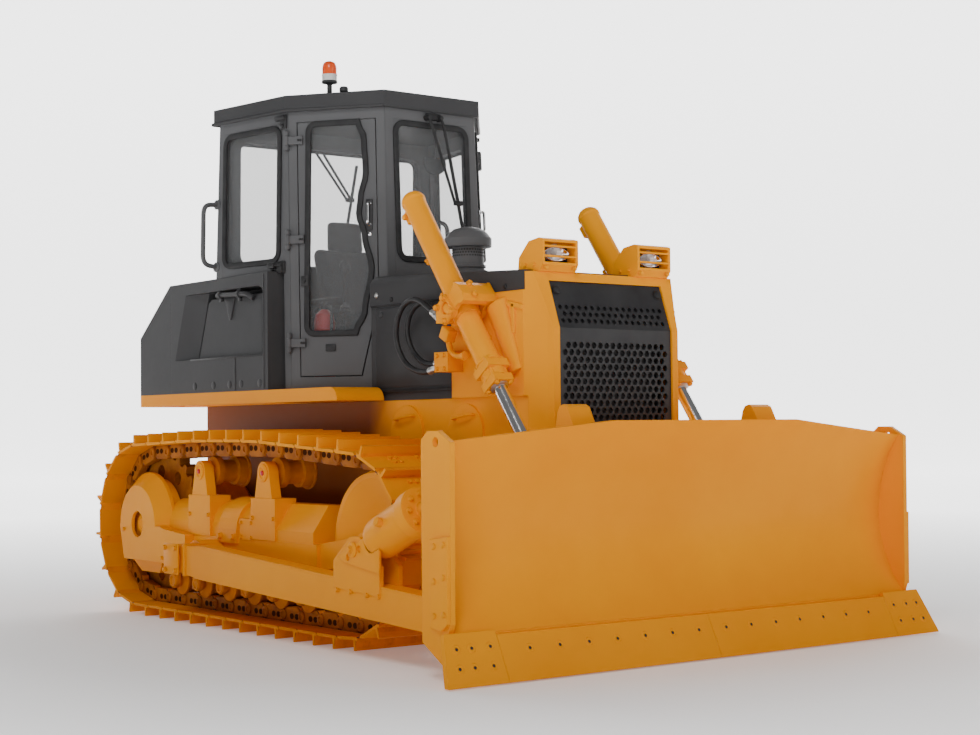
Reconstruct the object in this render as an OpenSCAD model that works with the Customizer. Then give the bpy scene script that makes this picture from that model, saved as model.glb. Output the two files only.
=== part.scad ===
// Crawler bulldozer with a straight blade, a six-sided cab and two lift cylinders.
// Millimetres. +X points to the blade, +Y to the machine's left, +Z up.
// Inside the modules x = 0 is the sprocket axle; placed() moves the origin to the middle.

/* [Track] */
// Centre to centre of the two tracks
gauge = 1880; // [1780:10:2000]
// Width of a track shoe
shoe_w = 500; // [420:10:540]
// Shoes in each loop
shoe_count = 39; // [37:1:41]
// Height of the grouser bar on a shoe
grouser_h = 55; // [40:1:65]
// Thickness of the shoe plate
shoe_t = 12; // [9:1:18]
// Chain pin down to the shoe plate
pin_drop = 40; // [34:1:48]
// Chain pin up to the rail's running face
rail_rise = 42; // [36:1:50]
// Width of one chain rail
rail_w = 44; // [36:1:50]
// Gap between the two rails of a chain
rail_space = 116; // [106:1:130]
// Pitch radius of the sprocket
sprocket_r = 433; // [415:1:445]
// Teeth on the sprocket
sprocket_teeth = 27; // [23:2:31]
// Thickness of the toothed ring
sprocket_w = 70; // [50:1:90]
// Radius of the pin path round the idler
idler_path_r = 415; // [400:1:425]
// Idler axle ahead of the sprocket axle
idler_x = 2400; // [2350:5:2440]

/* [Rollers] */
// Radius of a track roller's tread
roller_r = 72; // [64:1:78]
// First track roller ahead of the sprocket axle
roller_x1 = 375; // [370:5:390]
// Spacing of the track rollers
roller_step = 286; // [280:1:290]
// Track rollers on each side
roller_count = 6; // [5:1:6]
// Radius of a carrier roller's tread
carrier_r = 84; // [74:1:90]
// Height of the carrier roller axles
carrier_z = 868; // [855:1:880]
// Rear carrier roller ahead of the sprocket axle
carrier_x1 = 700; // [660:5:740]
// Front carrier roller ahead of the sprocket axle
carrier_x2 = 1430; // [1380:5:1480]

/* [Track frame] */
// Width of the frame's box beam
beam_w = 320; // [280:5:340]
// Height of the frame's box beam
beam_h = 190; // [170:5:205]
// Radius of the push arm's trunnion pin
trunnion_r = 50; // [40:1:58]
// Trunnion ahead of the sprocket axle
trunnion_x = 907; // [880:1:940]
// Trunnion above the ground
trunnion_z = 391; // [380:1:402]

/* [Hull] */
// Width of the main frame
hull_w = 950; // [900:10:960]
// Belly above the ground
belly_z = 420; // [405:5:450]
// Top of the main frame, which carries the platform
deck_z = 1258; // [1240:2:1270]
// Front of the main frame
hull_front_x = 2960; // [2930:5:2980]
// Plate thickness of the engine bay
hull_plate = 30; // [20:1:40]

/* [Engine cover] */
// Width over the radiator guard
guard_w = 984; // [970:2:990]
// Front face of the radiator guard
guard_front_x = 3090; // [3070:1:3110]
// Rear end of the radiator guard's sides
guard_rear_x = 2330; // [2290:5:2370]
// Height of the crease in the front face
crease_z = 1596; // [1560:1:1640]
// Top of the front frame
guard_top_z = 1881; // [1860:1:1900]
// Top of the front frame lies this far behind the crease
guard_rake = 100; // [60:1:130]
// Seam between the side walls and the dark hood
hood_seam_z = 1790; // [1760:1:1810]
// Hood top at the cab
hood_rear_z = 1962; // [1940:1:1980]
// Hood top at the front frame
hood_front_z = 1890; // [1875:1:1905]
// Sheet thickness of hood and guard
cover_t = 30; // [20:1:40]
// Across flats of a grille hole
grille_hole = 30; // [24:1:33]
// Spacing of the grille holes
grille_step = 42; // [38:1:48]

/* [Platform and tanks] */
// Half width of platform and tanks
deck_half = 805; // [790:5:815]
// Thickness of the platform band
deck_t = 76; // [60:1:90]
// Rear end of platform and fuel tank
rear_x = -690; // [-720:5:-660]
// Front end of the platform's wings
deck_front_x = 1700; // [1680:5:1760]
// Top of the fuel tank and side boxes
tank_top_z = 2020; // [1990:5:2040]
// Height of the tank's upright rear face
tank_rear_h = 370; // [330:5:420]
// Length of the sloping rear of the tank
tank_slope = 420; // [360:5:460]

/* [Cab] */
// Underside of the roof
cab_top_z = 2955; // [2930:5:2980]
// Front wall ahead of the sprocket axle, at the roof
cab_front_x = 1458; // [1445:1:1475]
// Half width of the front wall at the roof
cab_front_half = 318; // [305:1:330]
// Door post ahead of the sprocket axle, at the roof
cab_door_x = 985; // [965:1:1005]
// Door posts inside the platform's edge, at the roof
cab_door_inset = 123; // [105:1:140]
// Rear wall ahead of the sprocket axle, at the roof
cab_rear_x = 354; // [345:1:370]
// Rear posts inside the platform's edge, at the roof
cab_rear_inset = 15; // [10:1:30]
// Front wall's lean over the cab's height
lean_front = 70; // [50:1:80]
// Door wall's lean over the cab's height
lean_door = 60; // [40:1:70]
// Side wall's lean over the cab's height
lean_side = 34; // [20:1:40]
// Rear wall's lean over the cab's height
lean_rear = 25; // [10:1:30]
// Thickness of cab walls and doors
wall_t = 50; // [40:1:60]
// Width of a post's leg along the wall
post_w = 55; // [45:1:65]
// Running gap round a door
door_gap = 6; // [5:1:9]
// Thickness of the glass
glass_t = 6; // [4:0.5:10]
// Thickness of the roof's edge
roof_t = 90; // [70:1:110]
// Overhang of the roof
roof_lip = 24; // [15:1:35]
// Door hinge pin radius
hinge_pin_r = 8; // [6:0.5:10]

/* [Blade] */
// Half width over the end plates
blade_half = 1495; // [1480:1:1510]
// Half width over the end bits at the cutting edge
edge_half = 1593; // [1570:1:1610]
// Radius of the mouldboard's face
mould_r = 640; // [600:5:680]
// Deepest point of the face ahead of the sprocket axle
mould_x = 3520; // [3505:1:3535]
// Height of the deepest point
mould_z = 640; // [620:5:660]
// Thickness of the mouldboard
mould_t = 22; // [16:1:28]
// Top edge in the middle
blade_top_z = 1130; // [1110:1:1150]
// Top edge at the ends
blade_end_z = 1042; // [1025:1:1055]
// Front of the cutting edge
edge_front_x = 3811; // [3800:1:3825]
// Cutting edge above the ground
edge_lift = 6; // [4:1:20]
// Thickness of the cutting edge
edge_t = 28; // [20:1:34]
// Thickness of the end plates
end_t = 26; // [18:1:32]
// Width of a push arm
arm_w = 120; // [100:1:130]
// Centre of a push arm from the machine's middle
arm_y = 1315; // [1310:1:1325]

/* [Lift cylinders] */
// Centre of a lift cylinder from the machine's middle
lift_y = 610; // [606:1:620]
// Barrel swivel ahead of the sprocket axle
swivel_x = 2600; // [2590:1:2610]
// Barrel swivel above the ground
swivel_z = 1708; // [1700:1:1716]
// Swivel to rod eye at rest
lift_reach = 1300; // [1290:1:1310]
// Cylinder's slope from the level at rest
lift_slope = 53.7; // [53:0.1:54.4]
// Barrel outside radius
barrel_r = 62; // [56:1:66]
// Barrel bore radius
bore_r = 50; // [46:1:52]
// Rod radius
rod_r = 34; // [28:1:40]
// Swivel up to the barrel's closed end
barrel_back = 757; // [740:1:775]
// Swivel down to the gland's face
barrel_front = 499; // [480:1:510]
// Swivel pin radius
swivel_r = 28; // [22:1:32]
// Thickness of the rod eye
eye_t = 80; // [70:1:84]
// Bore radius of the rod eye
eye_bore = 30; // [25:1:34]
// Thickness of a lug plate
lug_t = 24; // [18:1:28]

/* [Hidden] */
// Seat clearance between parts that are put together
seat = 0.3;
// Running clearance of a pin in its bore
run = 0.08;
// Side clearance of an eye between its lugs
side_run = 5;
e = 1;
body = [0.98, 0.62, 0.05];
dark = [0.26, 0.26, 0.27];
black = [0.06, 0.06, 0.06];
steel = [0.6, 0.6, 0.62];
iron = [0.42, 0.3, 0.12];
clear = [0.7, 0.8, 0.85, 0.35];

track_y = gauge / 2;
pin_z = grouser_h + shoe_t + pin_drop;
sprocket_z = pin_z + sprocket_r;
idler_z = pin_z + idler_path_r;
carrier_pin_z = carrier_z + carrier_r + 4 + rail_rise;
roller_z = pin_z + rail_rise + roller_r + seat;
x_mid = (edge_front_x + rear_x) / 2;
floor_z = deck_z + deck_t;
cab_h = cab_top_z - floor_z;
hull_half = hull_w / 2;
guard_half = guard_w / 2;
cab_door_half = deck_half - cab_door_inset;
cab_rear_half = deck_half - cab_rear_inset;

function norm2(p) = sqrt(p[0] * p[0] + p[1] * p[1]);
function dir(a) = [cos(a), sin(a)];

// Path of the chain pins, counter-clockwise seen from the machine's right
spr = [0, sprocket_z];
idl = [idler_x, idler_z];
q1 = [carrier_x1, carrier_pin_z];
q2 = [carrier_x2, carrier_pin_z];
a_idl = atan2(q2[1] - idl[1], q2[0] - idl[0]) - acos(idler_path_r / norm2(q2 - idl));
a_spr = atan2(q1[1] - spr[1], q1[0] - spr[0]) + acos(sprocket_r / norm2(q1 - spr));
t_idl = idl + idler_path_r * dir(a_idl);
t_spr = spr + sprocket_r * dir(a_spr);
s1 = idler_x;
s2 = s1 + idler_path_r * (a_idl + 90) * PI / 180;
s3 = s2 + norm2(q2 - t_idl);
s4 = s3 + norm2(q1 - q2);
s5 = s4 + norm2(t_spr - q1);
loop_len = s5 + sprocket_r * (270 - a_spr) * PI / 180;
step = loop_len / shoe_count;
half_turn_idl = step / idler_path_r * 90 / PI;

function mix(p, q, f) = p + (q - p) * f;
function path(s) =
    s >= loop_len - 0.001 ? [0, pin_z] :
    s < s1 ? [s, pin_z] :
    s < s2 ? idl + idler_path_r * dir(-90 + (s - s1) / idler_path_r * 180 / PI) :
    s < s3 ? mix(t_idl, q2, (s - s2) / (s3 - s2)) :
    s < s4 ? mix(q2, q1, (s - s3) / (s4 - s3)) :
    s < s5 ? mix(q1, t_spr, (s - s4) / (s5 - s4)) :
    spr + sprocket_r * dir(a_spr + (s - s5) / sprocket_r * 180 / PI);
// A point of link i: a share of its length and a height outside the pin line
function on_link(i, a, h) =
    let (p = path(i * step), q = path((i + 1) * step), u = (q - p) / norm2(q - p))
    p + (q - p) * a + [u[1], -u[0]] * h;
function outline(shape) = [for (i = [0 : shoe_count - 1]) for (k = shape) on_link(i, k[0], k[1])];
plate_h = pin_drop + shoe_t;
tip_h = plate_h + grouser_h;
shoe_shape = [[.03, pin_drop + 3], [.03, plate_h], [.78, plate_h], [.80, tip_h], [.86, tip_h],
    [.90, plate_h], [.97, plate_h], [.97, pin_drop + 3]];
shoe_inside = [[.12, pin_drop], [.88, pin_drop]];
rail_inside = [[.12, -rail_rise], [.80, -rail_rise], [.96, -rail_rise + 24]];

// Extrudes a profile drawn in X and Z across the machine, from y0 to y1
module across(y0, y1) {
    translate([0, y1, 0]) rotate([90, 0, 0]) linear_extrude(height = y1 - y0) children();
}
// A rod along Y
module pin_y(x, z, r, y0, y1) {
    translate([x, y1, z]) rotate([90, 0, 0]) cylinder(r = r, h = y1 - y0, $fn = 64);
}
module both() {
    children();
    mirror([0, 1, 0]) children();
}
module block(x0, x1, y0, y1, z0, z1) {
    translate([x0, y0, z0]) cube([x1 - x0, y1 - y0, z1 - z0]);
}
module placed() {
    translate([-x_mid, 0, 0]) children();
}
// A rectangle with round corners
module soft_rect(x0, x1, y0, y1, r) {
    translate([x0 + r, y0]) square([x1 - x0 - 2 * r, y1 - y0]);
    translate([x0, y0 + r]) square([x1 - x0, y1 - y0 - 2 * r]);
    for (x = [x0 + r, x1 - r]) for (y = [y0 + r, y1 - r]) translate([x, y]) circle(r = r, $fn = 32);
}

// The same with corners of short flats, for windows
module soft_window(x0, x1, y0, y1, r) {
    polygon([for (c = [[x1 - r, y1 - r, 0], [x0 + r, y1 - r, 90], [x0 + r, y0 + r, 180], [x1 - r, y0 + r, 270]])
        for (k = [0 : 8]) [c[0], c[1]] + r * dir(c[2] + k * 11.25)]);
}

// Tracks
module track_loop() {
    across(-shoe_w / 2, shoe_w / 2) difference() {
        polygon(outline(shoe_shape));
        polygon(outline(shoe_inside));
    }
    for (y = [-rail_space / 2 - rail_w, rail_space / 2]) across(y, y + rail_w) difference() {
        polygon(outline([[0, pin_drop + 6]]));
        polygon(outline(rail_inside));
    }
}
module track_right() color(iron) translate([0, -track_y, 0]) track_loop();
module track_left() color(iron) translate([0, track_y, 0]) track_loop();

sprocket_tip = sprocket_r + 8;
sprocket_root = sprocket_r - 30;
module sprocket() {
    n = sprocket_teeth;
    across(-sprocket_w / 2, sprocket_w / 2) difference() {
        polygon([for (i = [0 : n - 1]) for (k = [[-.34, 0], [-.14, 1], [.14, 1], [.34, 0]])
            spr + (k[1] == 1 ? sprocket_tip : sprocket_root) * dir((i + k[0]) * 360 / n)]);
        translate(spr) circle(r = 180, $fn = 64);
        for (i = [0 : 8]) translate(spr + 318 * dir(i * 40 + 20)) circle(r = 42, $fn = 32);
    }
}
module sprockets() color(iron) both() translate([0, track_y, 0]) sprocket();

hub_in = track_y - sprocket_w / 2;
hub_out = track_y + sprocket_w / 2;
frame_out = track_y + beam_w / 2 + 10;
frame_in = track_y - beam_w / 2 + 10;
cap_r = 96;
module final_drive() {
    // Case between hull and sprocket, and the bearing drum outside it
    translate([0, hull_half, sprocket_z]) rotate([-90, 0, 0]) rotate_extrude($fn = 96)
        polygon([[0, 0], [230, 0], [290, 60], [290, 200], [210, hub_in - hull_half],
            [0, hub_in - hull_half]]);
    pin_y(0, sprocket_z, 180 - seat, hub_in, hub_out);
    translate([0, hub_out, sprocket_z]) rotate([-90, 0, 0]) rotate_extrude($fn = 96)
        polygon([[0, 0], [210, 0], [270, 18], [270, 60], [205, 112], [cap_r, 118], [cap_r, 140],
            [0, 146]]);
}
module final_drives() color(body) both() final_drive();

idler_tread = (idler_path_r) * cos(half_turn_idl) - rail_rise - seat;
module idler() {
    w = rail_space / 2;
    difference() {
        translate([idler_x, track_y, idler_z]) rotate([-90, 0, 0]) rotate_extrude($fn = 96)
            polygon([[0, -110], [70, -110], [70, -70], [150, -52], [idler_tread - 30, -w - rail_w + 6],
                [idler_tread, -w - rail_w + 6], [idler_tread, -w + 5], [idler_tread + 16, -w + 8],
                [idler_tread + 16, w - 8], [idler_tread, w - 5], [idler_tread, w + rail_w - 6],
                [idler_tread - 30, w + rail_w - 6], [150, 52], [70, 70], [70, 110], [0, 110]]);
        pin_y(idler_x, idler_z, 40, track_y - 120, track_y + 120);
    }
}
module idlers() color(body) both() idler();

beam_z = roller_z + roller_r + 20;
beam_top = beam_z + beam_h;
cover_h = 200;
boss_r = 96;
module roller() {
    w = rail_space / 2;
    translate([0, track_y, roller_z]) rotate([-90, 0, 0]) rotate_extrude($fn = 48)
        polygon([[0, -150], [34, -150], [34, -132], [roller_r + 14, -w - rail_w - 18],
            [roller_r + 14, -w - rail_w - 5], [roller_r, -w - rail_w - 5], [roller_r, -w + 6],
            [roller_r - 26, -w + 14], [roller_r - 26, w - 14], [roller_r, w - 6],
            [roller_r, w + rail_w + 5], [roller_r + 14, w + rail_w + 5],
            [roller_r + 14, w + rail_w + 18], [34, 132], [34, 150], [0, 150]]);
    // Shaft collars under the beam
    for (y = [-172, 150]) difference() {
        translate([0, track_y + y, 0]) across(0, 22) {
            translate([0, roller_z]) circle(r = 46, $fn = 48);
            translate([-46, roller_z]) square([92, beam_z - roller_z]);
        }
    }
}
module track_rollers() color(body) both() difference() {
    for (i = [0 : roller_count - 1]) translate([roller_x1 + i * roller_step, 0, 0]) roller();
    pin_y(trunnion_x, trunnion_z, boss_r + 4, frame_out - 2, frame_out + 100);
}

post_y = track_y + rail_space / 2 + rail_w + 10;
module carrier_roller(x) {
    w = rail_space / 2;
    translate([x, track_y, carrier_z]) rotate([-90, 0, 0]) rotate_extrude($fn = 48)
        polygon([[0, -w - rail_w - 20], [carrier_r - 20, -w - rail_w - 20], [carrier_r + 12, -w - rail_w - 14],
            [carrier_r + 12, -w - rail_w - 4], [carrier_r, -w - rail_w - 4], [carrier_r, -w + 10],
            [carrier_r - 20, -w + 14], [carrier_r - 20, w - 14], [carrier_r, w - 10],
            [carrier_r, w + rail_w - 16], [44, w + rail_w - 8], [44, post_y - track_y], [0, post_y - track_y]]);
}
module carrier_rollers() color(iron) both() {
    carrier_roller(carrier_x1);
    carrier_roller(carrier_x2);
}

module carrier_post(x) {
    // Outboard bracket: a foot on the cover and a tapering post to the shaft
    across(post_y, post_y + 60) {
        translate([x, carrier_z]) circle(r = 62, $fn = 48);
        polygon([[x - 62, carrier_z], [x + 62, carrier_z], [x + 92, beam_top + cover_h + 28],
            [x - 92, beam_top + cover_h + 28]]);
    }
    block(x - 130, x + 130, post_y - 70, post_y + 64, beam_top - e, beam_top + cover_h + 28);
}
beam_x0 = -230;
beam_x1 = idler_x - idler_tread - 60;
trunnion_in = frame_out;
arm_in = arm_y - arm_w / 2;
arm_out = arm_y + arm_w / 2;
drum_clear = 290;
drum_r = 312;
drum_in = hub_out + 86;
cheek_out = frame_out + 56;
cheek_top = sprocket_z - 4;
cheek_x = 560;
cover_r = beam_w / 2 - 10;
strap_x = 950;
strap_w = 200;
module half_round(r) {
    mid = (frame_in + frame_out) / 2;
    z0 = beam_top + cover_h - cover_r;
    polygon(concat([for (k = [0 : 18]) [mid, z0] + r * dir(k * 10)], [[mid - r, beam_top - 20], [mid + r, beam_top - 20]]));
}
module track_frame() {
    difference() {
        union() {
            // Box beam with chamfered ends
            across(frame_in, frame_out) polygon([[beam_x0, beam_top], [beam_x0 + 60, beam_z + 8],
                [beam_x0 + 180, beam_z - 60], [beam_x0 + 420, beam_z - 60], [beam_x0 + 450, beam_z],
                [beam_x1 - 60, beam_z], [beam_x1, beam_z + 50], [beam_x1, beam_top]]);
            // Recoil spring cover: half-round to the front carrier, then folded plate
            translate([260, 0, 0]) rotate([90, 0, 90]) linear_extrude(height = carrier_x2 - 260) half_round(cover_r);
            translate([strap_x, 0, 0]) rotate([90, 0, 90]) linear_extrude(height = strap_w) half_round(cover_r + 22);
            translate([carrier_x2 - e, 0, 0]) rotate([90, 0, 90]) linear_extrude(height = beam_x1 - 40 - carrier_x2)
                polygon([[frame_in + 20, beam_top - 20], [frame_out - 4, beam_top - 20],
                    [frame_out - 4, beam_top + 60], [frame_out - 100, beam_top + cover_h],
                    [frame_in + 110, beam_top + cover_h], [frame_in + 20, beam_top + 70]]);
            // Bolted feet of the strap and a small lid beside it
            block(strap_x, strap_x + strap_w, frame_out - 20, frame_out + 16, beam_top - 30, beam_top + 44);
            block(strap_x + strap_w + 20, carrier_x2 - 110, frame_out - 60, frame_out + 4, beam_top - 10, beam_top + 110);
            carrier_post(carrier_x1);
            carrier_post(carrier_x2);
            // Idler fork
            for (y = [track_y - 148, track_y + 112]) across(y, y + 36)
                polygon([[beam_x1 - 160, beam_top - 20], [idler_x + 90, idler_z + 62], [idler_x + 110, idler_z],
                    [idler_x + 90, idler_z - 62], [beam_x1 - 160, beam_z + 20]]);
            pin_y(idler_x, idler_z, 40 - seat, track_y - 112, track_y + 112);
            pin_y(idler_x, idler_z, 62, track_y + 148, track_y + 158);
            // Push arm trunnion
            pin_y(trunnion_x, trunnion_z, boss_r, frame_out - e, arm_in - side_run);
            pin_y(trunnion_x, trunnion_z, trunnion_r, frame_out, arm_out + side_run + e);
            pin_y(trunnion_x, trunnion_z, trunnion_r + 22, arm_out + side_run, arm_out + side_run + 14);
        }
        // Room for the final drive's drum and the sprocket, behind the outer plate
        block(beam_x0 - e, 60, frame_in - e, hub_in, 0, beam_top + e);
        pin_y(0, sprocket_z, drum_clear, frame_in - e, hub_out + 120);
        pin_y(0, sprocket_z, sprocket_tip + 12, hub_in - 12, hub_out + 12);
        pin_y(0, sprocket_z, cap_r + seat, hub_out, frame_out + 10);
    }
    // Bearing ring that carries the drum's cap
    difference() {
        pin_y(0, sprocket_z, cap_r + 44, hub_out + 120, frame_out + 6);
        pin_y(0, sprocket_z, cap_r + seat, hub_out, frame_out + 10);
    }
    // Tapered cover over the drum, with an eye at the axle, and the cheek plate under it
    difference() {
        translate([0, drum_in, sprocket_z]) rotate([-90, 0, 0]) rotate_extrude($fn = 96) polygon([[0, 0],
            [drum_r, 0], [drum_r, 24], [drum_r - 66, cheek_out - drum_in - 14], [drum_r - 80, cheek_out - drum_in],
            [0, cheek_out - drum_in]]);
        translate([0, drum_in - e, sprocket_z]) rotate([-90, 0, 0]) rotate_extrude($fn = 96) polygon([[0, 0],
            [drum_r - 20, 0], [drum_r - 20, 24], [drum_r - 86, cheek_out - drum_in - 20], [0, cheek_out - drum_in - 20]]);
        pin_y(0, sprocket_z, 78, drum_in, cheek_out + e);
        block(-2 * drum_r, 2 * drum_r, drum_in - 2 * e, cheek_out + e, 0, cheek_top - 20);
    }
    difference() {
        across(frame_out - 20, cheek_out) polygon([[beam_x0 - 10, cheek_top], [beam_x0 + 46, beam_z + 12],
            [cheek_x, beam_z + 12], [cheek_x + 60, beam_z + 60], [cheek_x + 60, beam_top], [drum_r + 30, beam_top + 20],
            [drum_r - 10, cheek_top]]);
        pin_y(0, sprocket_z, drum_r - 90, frame_out - 30, cheek_out - 18);
        pin_y(0, sprocket_z, 78, frame_out - 30, cheek_out + e);
        pin_y(0, sprocket_z, cap_r + 60, frame_out - 30, frame_out + 30);
    }
}
module track_frame_right() color(body) mirror([0, 1, 0]) track_frame();
module track_frame_left() color(body) track_frame();

bar_x = 1900;
module equalizer_bar() color(body)
    block(bar_x - 50, bar_x + 50, -frame_in, frame_in, belly_z - 80, belly_z);

// Hull
bay_x = 950;
module main_frame() color(body) difference() {
    union() {
        across(-hull_half, hull_half) polygon([[-400, 600], [-250, belly_z], [2700, belly_z],
            [hull_front_x, 640], [hull_front_x, deck_z], [-400, deck_z]]);
        // Front cross bar that carries the guard
        across(-hull_half + 60, hull_half - 60) polygon([[hull_front_x - e, 700], [hull_front_x + 60, 780],
            [hull_front_x + 60, guard_low], [hull_front_x - e, guard_low]]);
        // Round covers on the sides of the engine bay
        for (x = [1900, 2440]) both() pin_y(x, deck_z - 180, 150, hull_half - e, hull_half + 14);
    }
    block(bay_x, hull_front_x - hull_plate, -hull_half + hull_plate, hull_half - hull_plate,
        belly_z + 20, deck_z + e);
}
engine_half = 270;
module engine_block() color(black) union() {
    block(1720, 2560, -engine_half, engine_half, belly_z + 300, 1660);
    block(1820, 2460, -engine_half + 100, engine_half - 100, belly_z + 20, belly_z + 301);
    block(2560 - e, 2640, -180, 180, 1000, 1500);
}
module radiator() color(black) {
    block(2850, hull_front_x + 36, -380, 380, deck_z, hood_seam_z - 40);
    // Screen that hangs before the hull's front plate
    block(hull_front_x + seat, hull_front_x + 36, -380, 380, guard_low + 12, deck_z + e);
}

// Engine cover
guard_low = 960;
guard_top_x = guard_front_x - guard_rake;
corner_x = guard_front_x - 150;
module guard_plan(d) polygon([[guard_rear_x - d, -guard_half + d], [corner_x + d * .4, -guard_half + d],
    [guard_front_x - 34 - d, -guard_half + 62 + d * .4], [guard_front_x - d, -guard_half + 74 + d * .4],
    [guard_front_x - d, guard_half - 74 - d * .4], [guard_front_x - 34 - d, guard_half - 62 - d * .4],
    [corner_x + d * .4, guard_half - d], [guard_rear_x - d, guard_half - d]]);
grille_half = 378;
frame_w = 46;
module front_side(d) polygon([[guard_rear_x - 2 * e, guard_low - e], [guard_front_x - d, guard_low - e],
    [guard_front_x - d, crease_z - d * .2], [guard_top_x - d, guard_top_z - d], [guard_rear_x - 2 * e, guard_top_z - d]]);
module radiator_guard() color(body) difference() {
    intersection() {
        translate([0, 0, guard_low]) linear_extrude(height = guard_top_z - guard_low) guard_plan(0);
        across(-guard_half, guard_half) front_side(0);
    }
    intersection() {
        translate([0, 0, guard_low - e]) linear_extrude(height = guard_top_z) guard_plan(cover_t);
        across(-guard_half, guard_half) front_side(cover_t);
    }
    // Hull and hood seats
    block(guard_rear_x - 5, hull_front_x + seat, -guard_half - e, guard_half + e, guard_low - e, deck_z);
    block(hull_front_x - e, hull_front_x + 60 + seat, -hull_half, hull_half, guard_low - 2, guard_low + 2);
    block(guard_rear_x - 5, guard_top_x - 40, -guard_half - e, guard_half + e, hood_seam_z, guard_top_z + e);
    // Opening for the grille
    block(guard_front_x - 200, guard_front_x + e, -grille_half, grille_half, guard_low + frame_w,
        guard_top_z - frame_w);
}

rake_a = atan2(guard_rake, guard_top_z - crease_z);
grille_t = 14;
grille_in = 12;
module hole_field(w, h, rows, r) {
    n = floor((w - 24) / grille_step);
    for (j = [0 : rows - 1]) for (i = [0 : n - 1 - (j % 2)])
        translate([(i - (n - 1 - (j % 2)) / 2) * grille_step, h + j * grille_step * .866]) circle(r = r, $fn = 6);
}
// Bent plate: an upright field and a raked upper field
module grille() color(black) {
    w = 2 * grille_half - 2 * seat;
    x1 = guard_front_x - grille_in;
    z0 = guard_low + frame_w + seat;
    z1 = guard_top_z - frame_w - seat;
    rise = z1 - crease_z;
    back = rise * tan(rake_a);
    rows = floor((crease_z - z0 - 50) / (grille_step * .866));
    r = grille_hole / sqrt(3);
    difference() {
        across(-w / 2, w / 2) polygon([[x1, z0], [x1, crease_z], [x1 - back, z1], [x1 - back - grille_t / cos(rake_a), z1],
            [x1 - grille_t, crease_z - grille_t * tan(rake_a / 2)], [x1 - grille_t, z0]]);
        translate([x1 - 3 * grille_t, 0, z0]) rotate([90, 0, 90]) linear_extrude(height = 4 * grille_t)
            hole_field(w, 32, rows, r);
        // Three rows of smaller holes in the raked field
        translate([x1, 0, crease_z]) rotate([90, 0, 90]) rotate([-rake_a, 0, 0]) translate([0, 0, -3 * grille_t])
            linear_extrude(height = 4 * grille_t) hole_field(w, 40, 3, r * .8);
    }
}

hood_x0 = cab_front_x + lean_front + 4;
hood_half = guard_half - 14;
module hood_side(d) polygon([[hood_x0 - 2 * d, hood_seam_z - e], [guard_top_x - 40 - seat + 2 * d, hood_seam_z - e],
    [guard_top_x - 40 - seat + 2 * d, hood_front_z - d], [hood_x0 - 2 * d, hood_rear_z - d]]);
module hood_section(d) {
    soft_rect(-hood_half + d, hood_half - d, hood_seam_z - 300, hood_rear_z - d, 70);
}
module hood() color(dark) difference() {
    intersection() {
        across(-hood_half, hood_half) hood_side(0);
        translate([hood_x0, 0, 0]) rotate([90, 0, 90]) linear_extrude(height = guard_top_x - hood_x0) hood_section(0);
        block(hood_x0, guard_front_x, -hood_half, hood_half, hood_seam_z, hood_rear_z + e);
    }
    intersection() {
        across(-hood_half, hood_half) hood_side(cover_t);
        translate([hood_x0 - 50, 0, 0]) rotate([90, 0, 90]) linear_extrude(height = guard_front_x - hood_x0)
            hood_section(cover_t);
    }
}
panel_half = guard_half - 24;
module engine_side_panels() color(dark) both() difference() {
    block(hood_x0, guard_rear_x - seat, panel_half - 20, panel_half, deck_z, hood_seam_z);
    for (i = [0 : 5]) across(panel_half - 30, panel_half + e) translate([hood_x0 + 140 + i * 70, 0])
        soft_rect(0, 32, deck_z + 150, deck_z + 420, 14);
}
function hood_z(x) = hood_rear_z + (hood_front_z - hood_rear_z) * (x - hood_x0) / (guard_top_x - 40 - seat - hood_x0);
stack_x = 2010;
stack_y = -140;
stack_r = 88;
module air_stack() color(dark) difference() {
    translate([stack_x, stack_y, hood_z(stack_x) - 40]) rotate_extrude($fn = 96) polygon([[0, 0],
        [stack_r + 22, 0], [stack_r + 22, 70], [stack_r, 82], [stack_r, 206], [stack_r + 36, 214],
        [stack_r + 36, 250], [stack_r + 14, 286], [stack_r - 20, 302], [0, 306]]);
    // Foot cut to the hood's slope
    across(stack_y - 300, stack_y + 300) polygon([[hood_x0, hood_z(hood_x0) + seat],
        [guard_top_x, hood_z(guard_top_x) + seat], [guard_top_x, hood_seam_z], [hood_x0, hood_seam_z]]);
}

lamp_y = 317;
lamp_w = 232;
lamp_h = 168;
lamp_front = guard_top_x + 36;
lamp_foot = guard_top_z;
module headlamp() {
    difference() {
        across(-lamp_w / 2, lamp_w / 2) polygon([[lamp_front - 200, lamp_foot], [lamp_front - 26, lamp_foot],
            [lamp_front, lamp_foot + 34], [lamp_front, lamp_foot + lamp_h - 8], [lamp_front - 26, lamp_foot + lamp_h],
            [lamp_front - 110, lamp_foot + lamp_h - 12], [lamp_front - 190, lamp_foot + 80]]);
        block(lamp_front - 70, lamp_front + e, -lamp_w / 2 + 16, lamp_w / 2 - 16, lamp_foot + 46, lamp_foot + lamp_h - 22);
        // Foot cut to the hood's slope
        across(-lamp_w, lamp_w) polygon([[hood_x0, hood_z(hood_x0) + seat],
            [guard_top_x - 40, hood_z(guard_top_x - 40) + seat], [guard_top_x - 40, hood_seam_z], [hood_x0, hood_seam_z]]);
    }
    // Guard bars
    for (z = [.42, .72]) block(lamp_front - 14, lamp_front, -lamp_w / 2 + 10, lamp_w / 2 - 10,
        lamp_foot + lamp_h * z, lamp_foot + lamp_h * z + 10);
}
module headlamps() color(body) both() translate([0, lamp_y, 0]) headlamp();
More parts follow.
